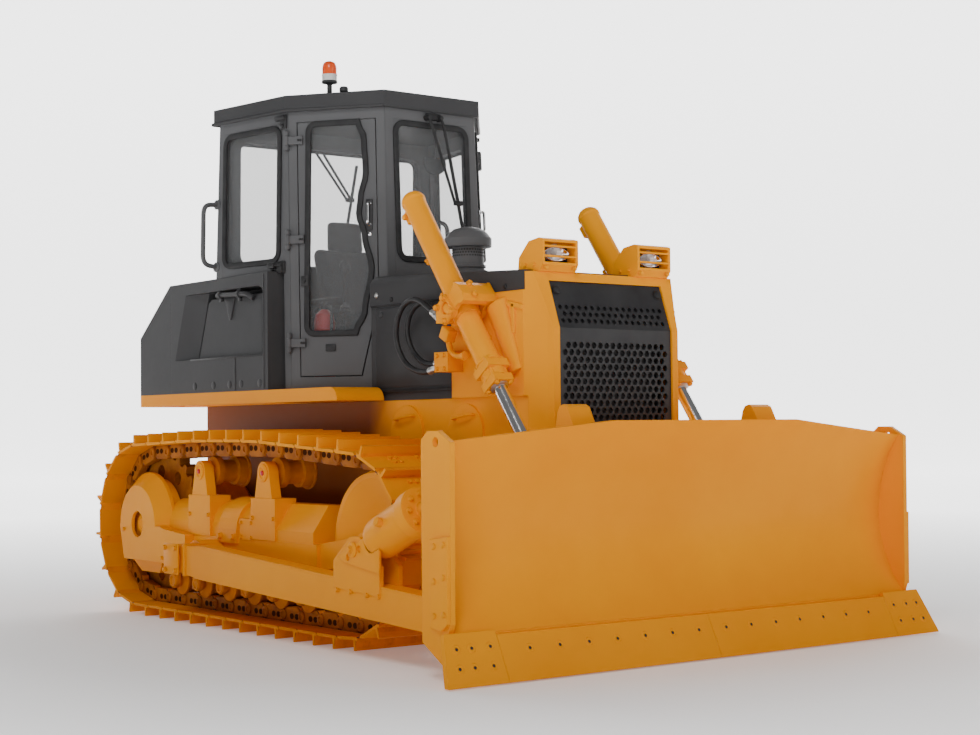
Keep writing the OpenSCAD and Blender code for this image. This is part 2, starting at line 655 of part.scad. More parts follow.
module headlamp_lenses() color(clear) both() translate([0, lamp_y, 0])
    translate([lamp_front - 70, 0, lamp_foot + 46 + (lamp_h - 68) / 2]) rotate([0, 90, 0]) rotate_extrude($fn = 64)
        polygon([[0, 0], [(lamp_h - 72) / 2, 0], [(lamp_h - 72) / 2, 24], [30, 38], [0, 40]]);

// Lift cylinders
swivel = [swivel_x, swivel_z];
lift_dir = [cos(lift_slope), -sin(lift_slope)];
eye = swivel + lift_reach * lift_dir;
arm_gap = barrel_r + 12;
yoke_t = 28;
yoke_y = guard_half;
// Local Z of a cylinder runs from the swivel down to the rod eye after this turn
module lift_axis() {
    translate([swivel_x, lift_y, swivel_z]) rotate([0, 90 + lift_slope, 0]) children();
}
gland_w = 132;
module lift_barrel() difference() {
    union() {
        lift_axis() {
            translate([0, 0, -barrel_back]) cylinder(r = barrel_r, h = barrel_back + barrel_front - 40, $fn = 64);
            translate([0, 0, -barrel_back - 14]) cylinder(r = barrel_r - 14, h = 20, $fn = 64);
            translate([0, 0, -60]) cylinder(r = barrel_r + 10, h = 120, $fn = 64);
            // Gland: two square flanges with a waist between them
            translate([-gland_w / 2, -gland_w / 2, barrel_front - 130]) cube([gland_w, gland_w, 44]);
            translate([0, 0, barrel_front - 90]) cylinder(r = barrel_r - 6, h = 60, $fn = 64);
            translate([-gland_w / 2 + 7, -gland_w / 2 + 7, barrel_front - 44]) cube([gland_w - 14, gland_w - 14, 44]);
            // Oil pipe along the back of the barrel
            translate([barrel_r + 4, 0, -barrel_back + 70]) cylinder(r = 14, h = barrel_back - 140, $fn = 32);
            for (z = [-barrel_back + 60, -90]) translate([0, -22, z]) cube([barrel_r + 20, 44, 40]);
        }
        pin_y(swivel_x, swivel_z, swivel_r, lift_y - arm_gap - yoke_t + 4, lift_y + arm_gap + yoke_t);
        pin_y(swivel_x, swivel_z, swivel_r + 16, lift_y - arm_gap + 4, lift_y + arm_gap - 4);
    }
    lift_axis() {
        translate([0, 0, -barrel_back + 34]) cylinder(r = bore_r, h = barrel_back + barrel_front - 34 - 90, $fn = 64);
        cylinder(r = rod_r + run, h = barrel_front + e, $fn = 64);
    }
}
module lift_barrel_right() color(body) mirror([0, 1, 0]) lift_barrel();
module lift_barrel_left() color(body) lift_barrel();

rod_in = 1240;
eye_r = 66;
module lift_rod() difference() {
    union() {
        lift_axis() translate([0, 0, lift_reach - rod_in]) cylinder(r = rod_r, h = rod_in - 20, $fn = 64);
        lift_axis() translate([0, 0, lift_reach - 130]) cylinder(r = rod_r + 10, h = 110, $fn = 64);
        pin_y(eye[0], eye[1], eye_r, lift_y - eye_t / 2, lift_y + eye_t / 2);
    }
    pin_y(eye[0], eye[1], eye_bore, lift_y - eye_t, lift_y + eye_t);
}
module lift_rod_right() color(steel) mirror([0, 1, 0]) lift_rod();
module lift_rod_left() color(steel) lift_rod();

// Bracket on the guard's side that carries the barrel's swivel pins
web_in = barrel_r + 26;
module yoke_arm() {
    translate(swivel) circle(r = swivel_r + 30, $fn = 48);
    translate(swivel) rotate(40) translate([0, -44]) square([web_in + 50, 88]);
}
pillar_a = 66;
pillar_l = 380;
pillar_out = 44;
module cylinder_yoke() difference() {
    union() {
        // Base casting with a tapering foot down the guard
        across(yoke_y, lift_y - arm_gap - yoke_t) {
            translate(swivel) circle(r = 104, $fn = 64);
            translate(swivel) rotate(40) translate([0, -60]) square([web_in + 50, 120]);
            polygon([swivel + [-60, -80], swivel + [120, 0], swivel + [270, -320], swivel + [200, -340]]);
        }
        // Half-round pillar that tapers down the guard's side
        difference() {
            translate([swivel_x + 130, yoke_y, swivel_z + 20]) rotate([0, 90 + pillar_a, 0])
                scale([1, pillar_out / 78, 1]) cylinder(r1 = 78, r2 = 46, h = pillar_l, $fn = 64);
            block(swivel_x - 400, swivel_x + 700, 0, yoke_y, 0, 3000);
        }
        across(lift_y - arm_gap - yoke_t - e, lift_y - arm_gap) yoke_arm();
        across(lift_y + arm_gap, lift_y + arm_gap + yoke_t) yoke_arm();
        across(lift_y - arm_gap - yoke_t, lift_y + arm_gap + yoke_t)
            translate(swivel) rotate(40) polygon([[web_in, -52], [web_in + 40, -64], [web_in + 58, -30],
                [web_in + 58, 30], [web_in + 40, 64], [web_in, 52]]);
        // Bearing cap over the outer pin
        across(lift_y + arm_gap + yoke_t - e, lift_y + arm_gap + yoke_t + 14) difference() {
            translate(swivel) rotate(40) translate([-62, -62]) square([104, 124]);
            translate(swivel) circle(r = swivel_r + 4, $fn = 48);
        }
    }
    pin_y(swivel_x, swivel_z, swivel_r + run, yoke_y + 6, lift_y + arm_gap + yoke_t + e);
}
module cylinder_yokes() color(body) both() cylinder_yoke();

// Hydraulic hoses loop between a block on the guard and a fitting on the yoke's foot
hose_r = 15;
block_x = guard_rear_x + 40;
module hose_blocks() color(body) both() {
    block(block_x - 60, block_x + 60, guard_half, guard_half + 98, deck_z + 136, deck_z + 240);
    block(block_x - 40, block_x + 40, guard_half, guard_half + 98, swivel_z - 60, swivel_z + 26);
}
hose_a = [[block_x - 60, 530, 1450], [2230, 531, 1442], [2140, 533, 1452], [2060, 536, 1496], [2008, 539, 1560],
    [1990, 540, 1630], [2008, 540, 1700], [2060, 539, 1752], [2130, 537, 1774], [2200, 534, 1764],
    [2265, 531, 1728], [block_x - 40, 530, 1700]];
hose_b = [[block_x - 60, 570, 1418], [2230, 572, 1400], [2130, 576, 1408], [2040, 582, 1450], [1980, 586, 1520],
    [1955, 588, 1600], [1965, 588, 1680], [2005, 586, 1745], [2070, 583, 1784], [2140, 579, 1786],
    [2215, 574, 1752], [block_x - 40, 570, 1676]];
function unit(v) = v / norm(v);
function tangent(p, i) = i == 0 ? unit(p[1] - p[0]) : i == len(p) - 1 ? unit(p[i] - p[i - 1]) :
    unit(p[i + 1] - p[i - 1]);
module sweep(p, r, n) {
    rings = [for (i = [0 : len(p) - 1]) let (t = (i == 0 || i == len(p) - 1) ? [1, 0, 0] * sign(tangent(p, i)[0]) :
        tangent(p, i), a = unit(cross(t, [0, 1, 0])), b = cross(t, a)) for (k = [0 : n - 1])
        p[i] + r * (a * cos(k * 360 / n) + b * sin(k * 360 / n))];
    m = len(p);
    polyhedron(points = rings, faces = concat(
        [[for (k = [0 : n - 1]) k]],
        [for (i = [0 : m - 2]) for (k = [0 : n - 1])
            [i * n + k, (i + 1) * n + k, (i + 1) * n + (k + 1) % n, i * n + (k + 1) % n]],
        [[for (k = [n - 1 : -1 : 0]) (m - 1) * n + k]]));
}
module hose_right_upper() color(black) mirror([0, 1, 0]) sweep(hose_a, hose_r, 10);
module hose_right_lower() color(black) mirror([0, 1, 0]) sweep(hose_b, hose_r, 10);
module hose_left_upper() color(black) sweep(hose_a, hose_r, 10);
module hose_left_lower() color(black) sweep(hose_b, hose_r, 10);

// Platform and tanks
wing_in = guard_half + 6;
module platform() color(body) difference() {
    across(-deck_half, deck_half) union() {
        polygon([[rear_x, deck_z], [deck_front_x - deck_t, deck_z], [deck_front_x - deck_t, floor_z],
            [rear_x, floor_z]]);
        intersection() {
            translate([deck_front_x - deck_t, deck_z]) circle(r = deck_t, $fn = 64);
            translate([deck_front_x - deck_t - e, deck_z]) square([deck_t + 2 * e, deck_t]);
        }
    }
    block(hood_x0 - 20, deck_front_x + e, -wing_in, wing_in, deck_z - e, floor_z + e);
    // Pressed underside, outside the main frame
    both() block(rear_x + 30, cab_door_x, hull_half + 30, deck_half - 30, deck_z - e, floor_z - 12);
}
tank_front = cab_rear_x - lean_rear - 12;
box_rear = -260;
module fuel_tank() color(dark) difference() {
    across(-deck_half, deck_half) polygon([[rear_x, floor_z], [rear_x, floor_z + tank_rear_h],
        [rear_x + tank_slope, tank_top_z], [tank_front, tank_top_z], [tank_front, floor_z]]);
    // Step in the rear face under the filler
    across(-260, 260) polygon([[rear_x - e, floor_z + 40], [rear_x + 18, floor_z + 40],
        [rear_x + 18, floor_z + tank_rear_h - 50], [rear_x - e, floor_z + tank_rear_h - 50]]);
    // Seats of the side boxes
    both() block(box_rear, tank_front + e, box_in - seat, deck_half + e, floor_z - e, tank_top_z + e);
}
box_front = cab_door_x - 30;
box_in = deck_half - 230;
recess = 150;
ledge_z = floor_z + 206;
recess_top = tank_top_z - 75;
recess_x0 = 0;
recess_x1 = box_front - 45;
slant = 147;
wall_run = 205;
wall_depth = 60;
module side_boxes() color(dark) both() difference() {
    block(box_rear + seat, box_front, box_in, deck_half, floor_z, tank_top_z);
    across(deck_half - recess, deck_half + e) polygon([[recess_x0, ledge_z], [recess_x0 + slant, recess_top],
        [recess_x1 - 60, recess_top], [recess_x1 - 18, recess_top - 18], [recess_x1, recess_top - 60], [recess_x1, ledge_z]]);
    // Sloping rear wall of the recess
    polyhedron(points = [for (k = [0, 1]) for (p = [[-wall_run, deck_half + e], [10, deck_half + e],
        [10, deck_half - wall_depth]]) [recess_x0 + k * slant + p[0], p[1], k == 0 ? ledge_z : recess_top]],
        faces = [[2, 1, 0], [3, 4, 5], [1, 4, 3, 0], [2, 5, 4, 1], [0, 3, 5, 2]]);
}
lobe_out = deck_half - 45;
lobe_r = 90;
module hydraulic_tank() color(dark) both() {
    x0 = recess_x0 + 34;
    x1 = recess_x1 - 14;
    z1 = recess_top - 40;
    rise = z1 - ledge_z - 20;
    // Tank with a sloping rear, a round shoulder and a round front edge
    intersection() {
        across(deck_half - recess + seat, lobe_out) polygon(concat([[x0, ledge_z + seat], [x0 + slant * .86, z1 - 24],
            [x0 + slant * .86 + 40, z1]], [for (k = [0 : 6]) [x1 - lobe_r, z1 - lobe_r] + lobe_r * dir(90 - k * 15)],
            [[x1, ledge_z + seat]]));
        translate([0, 0, ledge_z]) linear_extrude(height = rise + 40) polygon(concat([[x0 - e, deck_half - recess],
            [x1 + e, deck_half - recess]], [for (k = [0 : 6]) [x1 + e - lobe_r, lobe_out - lobe_r] + lobe_r * dir(k * 15)],
            [[x0 - e, lobe_out]]));
    }
}

// Cab walls stand on six lines; each leans inward towards the roof
At = [cab_front_x, -cab_front_half];
Bt = [cab_door_x, -cab_door_half];
Ct = [cab_rear_x, -cab_rear_half];
function az(p, q) = atan2(q[1] - p[1], q[0] - p[0]);
az_side = az(Ct, Bt);
az_door = az(Bt, At);
function outward(a) = [sin(a), -cos(a)];
function meet(p, a, q, b) = let (d = dir(a), f = dir(b), w = q - p, k = d[0] * f[1] - d[1] * f[0])
    p + d * ((w[0] * f[1] - w[1] * f[0]) / k);
Ab = meet(At + outward(90) * lean_front, 90, At + outward(az_door) * lean_door, az_door);
Bb = meet(Bt + outward(az_door) * lean_door, az_door, Bt + outward(az_side) * lean_side, az_side);
Cb = meet(Ct + outward(az_side) * lean_side, az_side, Ct + outward(-90) * lean_rear, -90);
Am = [At[0], -At[1]];
Abm = [Ab[0], -Ab[1]];
Cm = [Ct[0], -Ct[1]];
Cbm = [Cb[0], -Cb[1]];
// A wall: bottom left corner, its turn, its lean, and where its edges lie at the bottom and top
function wall(pb, qb, pt, qt, a, lean) = [pb, a, atan(lean / cab_h), cab_h / cos(atan(lean / cab_h)),
    (qb - pb) * dir(a), (pt - pb) * dir(a), (qt - pb) * dir(a)];
w_side = wall(Cb, Bb, Ct, Bt, az_side, lean_side);
w_door = wall(Bb, Ab, Bt, At, az_door, lean_door);
w_front = wall(Ab, Abm, At, Am, 90, lean_front);
w_rear = wall(Cbm, Cb, Cm, Ct, -90, lean_rear);
function wall_l(w, v) = w[5] * v / w[3];
function wall_r(w, v) = w[4] + (w[6] - w[4]) * v / w[3];
function wall_v(w, z) = (z - floor_z) / cos(w[2]);
module in_wall(w, t0, t1) {
    translate([w[0][0], w[0][1], floor_z]) rotate([90 - w[2], 0, w[1]]) translate([0, 0, -t1])
        linear_extrude(height = t1 - t0) children();
}
module strip(w, d0, d1, v0, v1) {
    polygon([[wall_l(w, v0) + d0, v0], [wall_r(w, v0) - d1, v0], [wall_r(w, v1) - d1, v1], [wall_l(w, v1) + d0, v1]]);
}
module leg_l(w, d, v0, v1, c = 0) {
    polygon([[wall_l(w, v0) + c, v0], [wall_l(w, v0) + d, v0], [wall_l(w, v1) + d, v1], [wall_l(w, v1) + c, v1]]);
}
module leg_r(w, d, v0, v1, c = 0) {
    polygon([[wall_r(w, v0) - d, v0], [wall_r(w, v0) - c, v0], [wall_r(w, v1) - c, v1], [wall_r(w, v1) - d, v1]]);
}
// The sharp rear corners are cut back so that no post stands out of the next wall
corner_cut = wall_t * tan(az_side) + 2;
rear_post = wall_t / cos(az_side) + wall_t * tan(az_side) + 6;
edge_cut = 3;
head_h = 66;
sill_h = 70;
belt_z = tank_top_z + seat;
over = 12;
cut_low = 110;
cut_high = 500;
hinge_z = [1600, 2200, 2780];
hinge_off = 19;
knuckle_r = 14;
hinge_len = 110;
bis = unit(outward(az_door) + outward(az_side));
Hb = Bb + bis * hinge_off;
Ht = Bt + bis * hinge_off;
hinge_vec = [Ht[0] - Hb[0], Ht[1] - Hb[1], cab_h];
function hinge_at(z) = [Hb[0], Hb[1], floor_z] + hinge_vec * ((z - floor_z) / cab_h);
module on_hinge(z) {
    tilt = acos(hinge_vec[2] / norm(hinge_vec));
    translate(hinge_at(z)) rotate(a = tilt, v = [-hinge_vec[1], hinge_vec[0], 0]) children();
}
module frame_half() {
    intersection() {
        union() {
            in_wall(w_side, 0, wall_t) {
                leg_l(w_side, rear_post, -over, w_side[3] + over, corner_cut);
                leg_r(w_side, post_w, -over, w_side[3] + over);
                strip(w_side, post_w / 2, post_w / 2, w_side[3] - head_h, w_side[3] + over);
            }
            in_wall(w_door, 0, wall_t) {
                leg_l(w_door, post_w, -over, w_door[3] + over, edge_cut);
                leg_r(w_door, post_w, -over, w_door[3] + over, edge_cut);
                strip(w_door, post_w / 2, post_w / 2, w_door[3] - head_h, w_door[3] + over);
                strip(w_door, post_w / 2, post_w / 2, -over, sill_h);
                // Lower front corner, cut back along the hood
                polygon([[wall_r(w_door, 0) - post_w - cut_low, 0], [wall_r(w_door, 0) - post_w + e, 0],
                    [wall_r(w_door, cut_high) - post_w + e, cut_high], [wall_r(w_door, cut_high) - post_w, cut_high],
                    [wall_r(w_door, sill_h) - post_w - cut_low, sill_h]]);
            }
        }
        block(0, 2000, -1000, 1000, floor_z, cab_top_z);
    }
}
module frame_ends() {
    intersection() {
        union() {
            in_wall(w_front, 0, wall_t) {
                leg_l(w_front, post_w, -over, w_front[3] + over);
                leg_r(w_front, post_w, -over, w_front[3] + over);
                strip(w_front, post_w / 2, post_w / 2, w_front[3] - head_h, w_front[3] + over);
                strip(w_front, post_w / 2, post_w / 2, -over, sill_h);
            }
            in_wall(w_rear, 0, wall_t) {
                leg_l(w_rear, rear_post, -over, w_rear[3] + over, corner_cut);
                leg_r(w_rear, rear_post, -over, w_rear[3] + over, corner_cut);
                strip(w_rear, post_w / 2, post_w / 2, w_rear[3] - head_h, w_rear[3] + over);
            }
        }
        block(0, 2000, -1000, 1000, floor_z, cab_top_z);
    }
}
module frame_cut() {
    // Rear posts stand on the side boxes
    both() block(0, box_front + seat, box_in - seat, 1000, floor_z - e, belt_z);
}
module hinge_fixed(z) {
    on_hinge(z) {
        translate([0, 0, -hinge_len / 2 - 6]) cylinder(r = hinge_pin_r, h = hinge_len + 12, $fn = 32);
        for (k = [-hinge_len / 2, hinge_len / 2 - 26]) translate([0, 0, k]) {
            cylinder(r = knuckle_r, h = 26, $fn = 32);
            rotate([0, 0, atan2(-bis[1], -bis[0])]) translate([0, -10, 0]) cube([hinge_off + 12, 20, 26]);
        }
    }
}
module cab_frame() color(dark) {
    difference() {
        union() {
            frame_ends();
            both() frame_half();
        }
        frame_cut();
    }
    both() for (z = hinge_z) hinge_fixed(z);
}
win_r = 60;
front_rim = 12;
module front_opening() {
    v0 = wall_v(w_front, 2075);
    v1 = wall_v(w_front, 2868);
    soft_window(max(wall_l(w_front, v0), wall_l(w_front, v1)) + post_w + front_rim,
        min(wall_r(w_front, v0), wall_r(w_front, v1)) - post_w - front_rim, v0, v1, win_r);
}
module cab_front_panel() color(dark) in_wall(w_front, 0, wall_t) difference() {
    strip(w_front, post_w + seat, post_w + seat, sill_h + seat, w_front[3] - head_h - seat);
    front_opening();
}
module rear_opening() {
    v0 = wall_v(w_rear, 2110);
    v1 = wall_v(w_rear, 2860);
    soft_window(wall_l(w_rear, v0) + post_w + 90, wall_r(w_rear, v0) - post_w - 90, v0, v1, win_r);
}
module cab_rear_panel() color(dark) difference() {
    in_wall(w_rear, 0, wall_t) difference() {
        strip(w_rear, rear_post + seat, rear_post + seat, -over, w_rear[3] - head_h - seat);
        rear_opening();
    }
    frame_cut();
    block(0, 1000, -1000, 1000, 0, floor_z);
}
module side_opening() {
    v0 = wall_v(w_side, 2085);
    v1 = wall_v(w_side, 2868);
    soft_window(wall_l(w_side, v1) + rear_post + 8, wall_r(w_side, v1) - post_w - 10, v0, v1, win_r);
}
module side_panel() intersection() {
    in_wall(w_side, 0, wall_t) difference() {
        strip(w_side, rear_post + seat, post_w + seat, 0, w_side[3] - head_h - seat);
        side_opening();
    }
    block(0, 2000, -1000, 1000, belt_z, cab_top_z);
}
module cab_side_panels() color(dark) both() side_panel();

// Doors swing on the rear post of their wall
module door_outline() {
    d = post_w + door_gap;
    v0 = sill_h + door_gap;
    v1 = w_door[3] - head_h - door_gap;
    polygon([[wall_l(w_door, v0) + d, v0], [wall_r(w_door, v0) - d - cut_low, v0],
        [wall_r(w_door, cut_high + 8) - d, cut_high + 8], [wall_r(w_door, v1) - d, v1], [wall_l(w_door, v1) + d, v1]]);
}
// Front edge of the door's window: share of its height, and how far it stands out
window_bow = [[0, -50], [.1, 4], [.3, 44], [.46, 0], [.56, -36], [.64, -26], [.75, 4], [.92, -8], [1, -48]];
function ease(a, b, f) = a + (b - a) * (1 - cos(180 * f)) / 2;
function bow(t) = let (k = [for (i = [0 : len(window_bow) - 2]) if (t >= window_bow[i][0]) i], i = k[len(k) - 1],
    p = window_bow[i], q = window_bow[i + 1]) ease(p[1], q[1], (t - p[0]) / (q[0] - p[0]));
module door_opening() {
    v0 = wall_v(w_door, 1652);
    v1 = wall_v(w_door, 2872);
    l = wall_l(w_door, v0) + post_w + 44;
    r = wall_r(w_door, v1) - post_w - 62;
    soft_rect(l, r - 70, v0, v1, 46);
    polygon(concat([[l + 90, v1], [l + 90, v0]], [for (i = [0 : 32]) [r + bow(i / 32), v0 + (v1 - v0) * i / 32]]));
}
module right_door_half() {
    in_wall(w_door, 0, wall_t) difference() {
        door_outline();
        door_opening();
    }
    for (z = hinge_z) difference() {
        union() {
            on_hinge(z) translate([0, 0, -hinge_len / 2 + 28]) cylinder(r = knuckle_r, h = hinge_len - 56, $fn = 32);
            // Strap from the knuckle along the door's face
            in_wall(w_door, -hinge_off - 2, 0) translate([wall_l(w_door, wall_v(w_door, z)), wall_v(w_door, z) - 24])
                polygon([[hinge_tail, 0], [post_w + door_gap + strap_lap, 0], [post_w + door_gap + strap_lap, 48],
                    [hinge_tail, 48]]);
        }
        on_hinge(z) translate([0, 0, -hinge_len]) cylinder(r = hinge_pin_r + run, h = 2 * hinge_len, $fn = 32);
        in_wall(w_door, -5, 1) translate([wall_l(w_door, wall_v(w_door, z)) - 40, wall_v(w_door, z) - 100])
            square([40 + post_w + door_gap, 200]);
    }
}
hinge_tail = 4;
strap_lap = 34;
module right_door() color(dark) right_door_half();
module left_door() color(dark) mirror([0, 1, 0]) right_door_half();

pane_in = wall_t / 2 - glass_t / 2;
module pane(w) in_wall(w, pane_in, pane_in + glass_t) children();
module cab_glass() color(clear) {
    pane(w_front) front_opening();
    pane(w_rear) rear_opening();
    both() pane(w_side) side_opening();
}
module right_door_glass() color(clear) pane(w_door) door_opening();
module left_door_glass() color(clear) mirror([0, 1, 0]) pane(w_door) door_opening();

crown = 18;
module roof_plan(d) {
    p = [At + outward(az_door) * d + outward(90) * d * .4, Bt + outward(az_door) * d * .6 + outward(az_side) * d * .6,
        Ct + outward(az_side) * d + outward(-90) * d];
    polygon([p[0], p[1], p[2], [p[2][0], -p[2][1]], [p[1][0], -p[1][1]], [p[0][0], -p[0][1]]]);
}
module roof() color(dark) {
    translate([0, 0, cab_top_z]) linear_extrude(height = roof_t) roof_plan(roof_lip);
    translate([0, 0, cab_top_z + roof_t]) linear_extrude(height = crown) roof_plan(-70);
}
beacon = [1060, -440];
module beacon_lamp() color(body) translate([beacon[0], beacon[1], cab_top_z + roof_t + crown]) rotate_extrude($fn = 64)
    polygon([[0, 0], [42, 0], [42, 10], [16, 16], [16, 70], [44, 78], [46, 120], [44, 124], [44, 170], [36, 196], [0, 204]]);

floor_t = 25;
module cab_floor() color(black) translate([0, 0, floor_z]) linear_extrude(height = floor_t) polygon([
    [Cb[0] + wall_t + 8, -box_in + 4], [box_front - 4, -box_in + 4], [Bb[0] - 4, Bb[1] + wall_t + 40],
    [Ab[0] - wall_t - 14, Ab[1] + 44], [Ab[0] - wall_t - 14, -Ab[1] - 44], [Bb[0] - 4, -Bb[1] - wall_t - 40],
    [box_front - 4, box_in - 4], [Cb[0] + wall_t + 8, box_in - 4]]);
seat_x = 800;
seat_z = floor_z + floor_t;
module operator_seat() color(black) {
    block(seat_x - 200, seat_x + 180, -190, 190, seat_z, seat_z + 260);
    across(-250, 250) soft_rect(seat_x - 270, seat_x + 250, seat_z + 260, seat_z + 400, 50);
    translate([0, 0, 0]) across(-240, 240) polygon([[seat_x - 260, seat_z + 380], [seat_x - 120, seat_z + 380],
        [seat_x - 210, seat_z + 860], [seat_x - 320, seat_z + 880], [seat_x - 340, seat_z + 840]]);
    across(-130, 130) polygon([[seat_x - 320, seat_z + 860], [seat_x - 220, seat_z + 840], [seat_x - 240, seat_z + 1050],
        [seat_x - 330, seat_z + 1060]]);
    for (y = [-330, 270]) block(seat_x - 180, seat_x + 160, y, y + 60, seat_z + 480, seat_z + 540);
    for (y = [-331, 249]) block(seat_x - 120, seat_x - 40, y, y + 82, seat_z + 270, seat_z + 481);
}
lever_x = seat_x + 330;
module controls() color(black) {
    // Instrument console under the windshield
    across(-260, 260) polygon([[Ab[0] - wall_t - 150, seat_z], [Ab[0] - wall_t - 30, seat_z], [Ab[0] - wall_t - 60, seat_z + 700],
        [Ab[0] - wall_t - 160, seat_z + 760], [Ab[0] - wall_t - 260, seat_z + 660]]);
    // Travel and blade levers
    for (y = [-380, 380]) {
        block(lever_x - 90, lever_x + 60, y - 45, y + 45, seat_z, seat_z + 420);
        translate([lever_x - 10, y, seat_z + 419]) cylinder(r = 9, h = 240, $fn = 24);
        translate([lever_x - 10, y, seat_z + 690]) sphere(r = 32, $fn = 32);
        translate([lever_x - 10, y, seat_z + 650]) cylinder(r = 20, h = 20, $fn = 24);
    }
}

rail_tube = 14;
handle_out = 104;
module handle(p, q, out) {
    // A tube held off the wall by two feet
    d = unit(q - p);
    for (f = [p, q]) translate(f) rotate([0, 90, atan2(out[1], out[0])]) translate([0, 0, seat])
        cylinder(r = rail_tube - 3, h = handle_out, $fn = 32);
    translate(p + handle_out * out - 30 * d) rotate(a = acos(d[2]), v = cross([0, 0, 1], d))
        cylinder(r = rail_tube, h = norm(q - p) + 60, $fn = 32);
}
function on_side(u, z) = let (w = w_side, v = wall_v(w, z)) [w[0][0], w[0][1], floor_z]
    + [dir(w[1])[0], dir(w[1])[1], 0] * (wall_l(w, v) + u)
    + [-outward(w[1])[0] * sin(w[2]), -outward(w[1])[1] * sin(w[2]), cos(w[2])] * v;
module grab_handles() color(dark) both()
    handle(on_side(26, 2120), on_side(26, 2440), [outward(az_side)[0], outward(az_side)[1], 0]);

// Drawbar at the rear of the hull
draw_r = 26;
draw_x = -560;
draw_z = 560;
module drawbar() color(body) difference() {
    union() {
        for (z = [draw_z - 70, draw_z + 40]) translate([0, 0, z]) linear_extrude(height = 30) {
            translate([draw_x, 0]) circle(r = 72, $fn = 64);
            polygon([[draw_x, -72], [-400, -150], [-400, 150], [draw_x, 72]]);
        }
        block(-440, -400, -190, 190, draw_z + 40, draw_z + 230);
        block(-430, -400, -150, 150, draw_z - 70, draw_z + 70);
    }
    translate([draw_x, 0, draw_z - 100]) cylinder(r = draw_r, h = 200, $fn = 64);
    across(-200, 200) polygon([[-401, 599], [-250, belly_z], [-401, belly_z]]);
}

// Blade
mould_c = [mould_x + mould_r, mould_z];
box_x = 3460;
edge_top = [3706, 225];
edge_tip = [edge_front_x, edge_lift];
edge_u = unit(edge_tip - edge_top);
edge_n = [edge_u[1], -edge_u[0]];
lug_in = eye_t / 2 + side_run;
module lug_shape() {
    translate(eye) circle(r = eye_r + 8, $fn = 64);
    polygon([eye + [-60, 45], [3432, 1176], [3448, 1200], [3474, 1208], [3500, 1196], [3590, 1020], [3590, 500],
        eye + [20, -71]]);
}
module lift_lug() difference() {
    union() {
        for (y = [lift_y - lug_in - lug_t, lift_y + lug_in]) across(y, y + lug_t) lug_shape();
        // Closed top of the lug above the mouldboard
        across(lift_y - lug_in - lug_t, lift_y + lug_in + lug_t)
            polygon([[3425, 1130], [3432, 1176], [3448, 1200], [3474, 1208], [3500, 1196], [3590, 1020], [3520, 1000]]);
        // Pin heads
        pin_y(eye[0], eye[1], eye_bore + 14, lift_y + lug_in + lug_t, lift_y + lug_in + lug_t + 16);
        pin_y(eye[0], eye[1], eye_bore + 14, lift_y - lug_in - lug_t - 12, lift_y - lug_in - lug_t);
    }
}
brace_low = [2760, 530];
brace_high = [3400, 800];
brace_y = arm_y;
brace_ear = 24;
brace_half = 42;
brace_pin = 30;
module brace_lug() for (y = [brace_y - brace_half - brace_ear, brace_y + brace_half]) across(y, y + brace_ear) difference() {
    union() {
        translate(brace_high) circle(r = 62, $fn = 64);
        polygon([brace_high + [-20, 60], brace_high + [160, 110], brace_high + [160, -140], brace_high + [0, -62]]);
    }
    translate(brace_high) circle(r = brace_pin + seat, $fn = 64);
}
wing = max(blade_half - end_t / 2, brace_y + brace_half + brace_ear);
shackle = [3588, 1040];
shackle_r = 22;
module blade_board() {
    difference() {
        union() {
            intersection() {
                // Curved mouldboard
                pin_y(mould_c[0], mould_c[1], mould_r + mould_t, -blade_half + end_t / 2, blade_half - end_t / 2);
                // Outline of the board seen from the front
                translate([3200, 0, 0]) rotate([90, 0, 90]) linear_extrude(height = 700)
                    polygon([[-blade_half, 140], [blade_half, 140], [blade_half, blade_end_z],
                        [600, blade_top_z], [-600, blade_top_z], [-blade_half, blade_end_z]]);
            }
            // Lower and upper box sections and ribs behind it, which reach to the arms and braces
            across(-wing, wing) {
                polygon([[box_x, 172], [box_x, 342], [3560, 430], [3720, 430], [3700, 200],
                    edge_top + edge_n * (edge_t + seat), [3640, 150]]);
                polygon([[3484, 860], [3484, 955], [3580, 1004], [3632, 1004], [3600, 790]]);
            }
            for (y = [-1040, -330, 330, 1040]) across(y - 12, y + 12)
                polygon([[box_x + 4, 330], [3440, 600], [3486, 890], [3600, 1000], [3600, 330]]);
        }
        pin_y(mould_c[0], mould_c[1], mould_r, -2000, 2000);
        block(3770, 4900, -2000, 2000, 0, 2000);
        across(-2000, 2000) polygon([edge_top + edge_n * (edge_t + seat) + [0, 400], edge_top + edge_n * (edge_t + seat),
            edge_tip + edge_n * (edge_t + seat), [4200, 0], [4200, 640]]);
    }
}
module blade() color(body) {
    blade_board();
    both() difference() {
        union() {
            lift_lug();
            brace_lug();
        }
        pin_y(mould_c[0], mould_c[1], mould_r + mould_t / 2, 0, 2000);
    }
    // End plates with a lifting eye, and the wear plates outside them
    both() difference() {
        across(blade_half - end_t, blade_half) difference() {
            polygon([[3478, 168], [3478, 1050], [3528, 1090], [3606, 1090], [3696, 1040], [3690, 260],
                edge_top + edge_n * (edge_t + seat) - edge_u * 10, edge_top + edge_n * (edge_t + seat) + edge_u * 170, [3668, 58]]);
            translate(shackle) circle(r = shackle_r, $fn = 64);
        }
    }
    both() across(blade_half - e, blade_half + 16) polygon([[3560, 240], [3560, 620], [3690, 636], [3686, 260], [3640, 230]]);
}
bit_in = 1270;
bit_gap = 2;
bit_top = 1540;
module edge_profile() polygon([edge_top, edge_tip, edge_tip + [-edge_t / -edge_n[0] , 0], edge_top + edge_n * edge_t]);
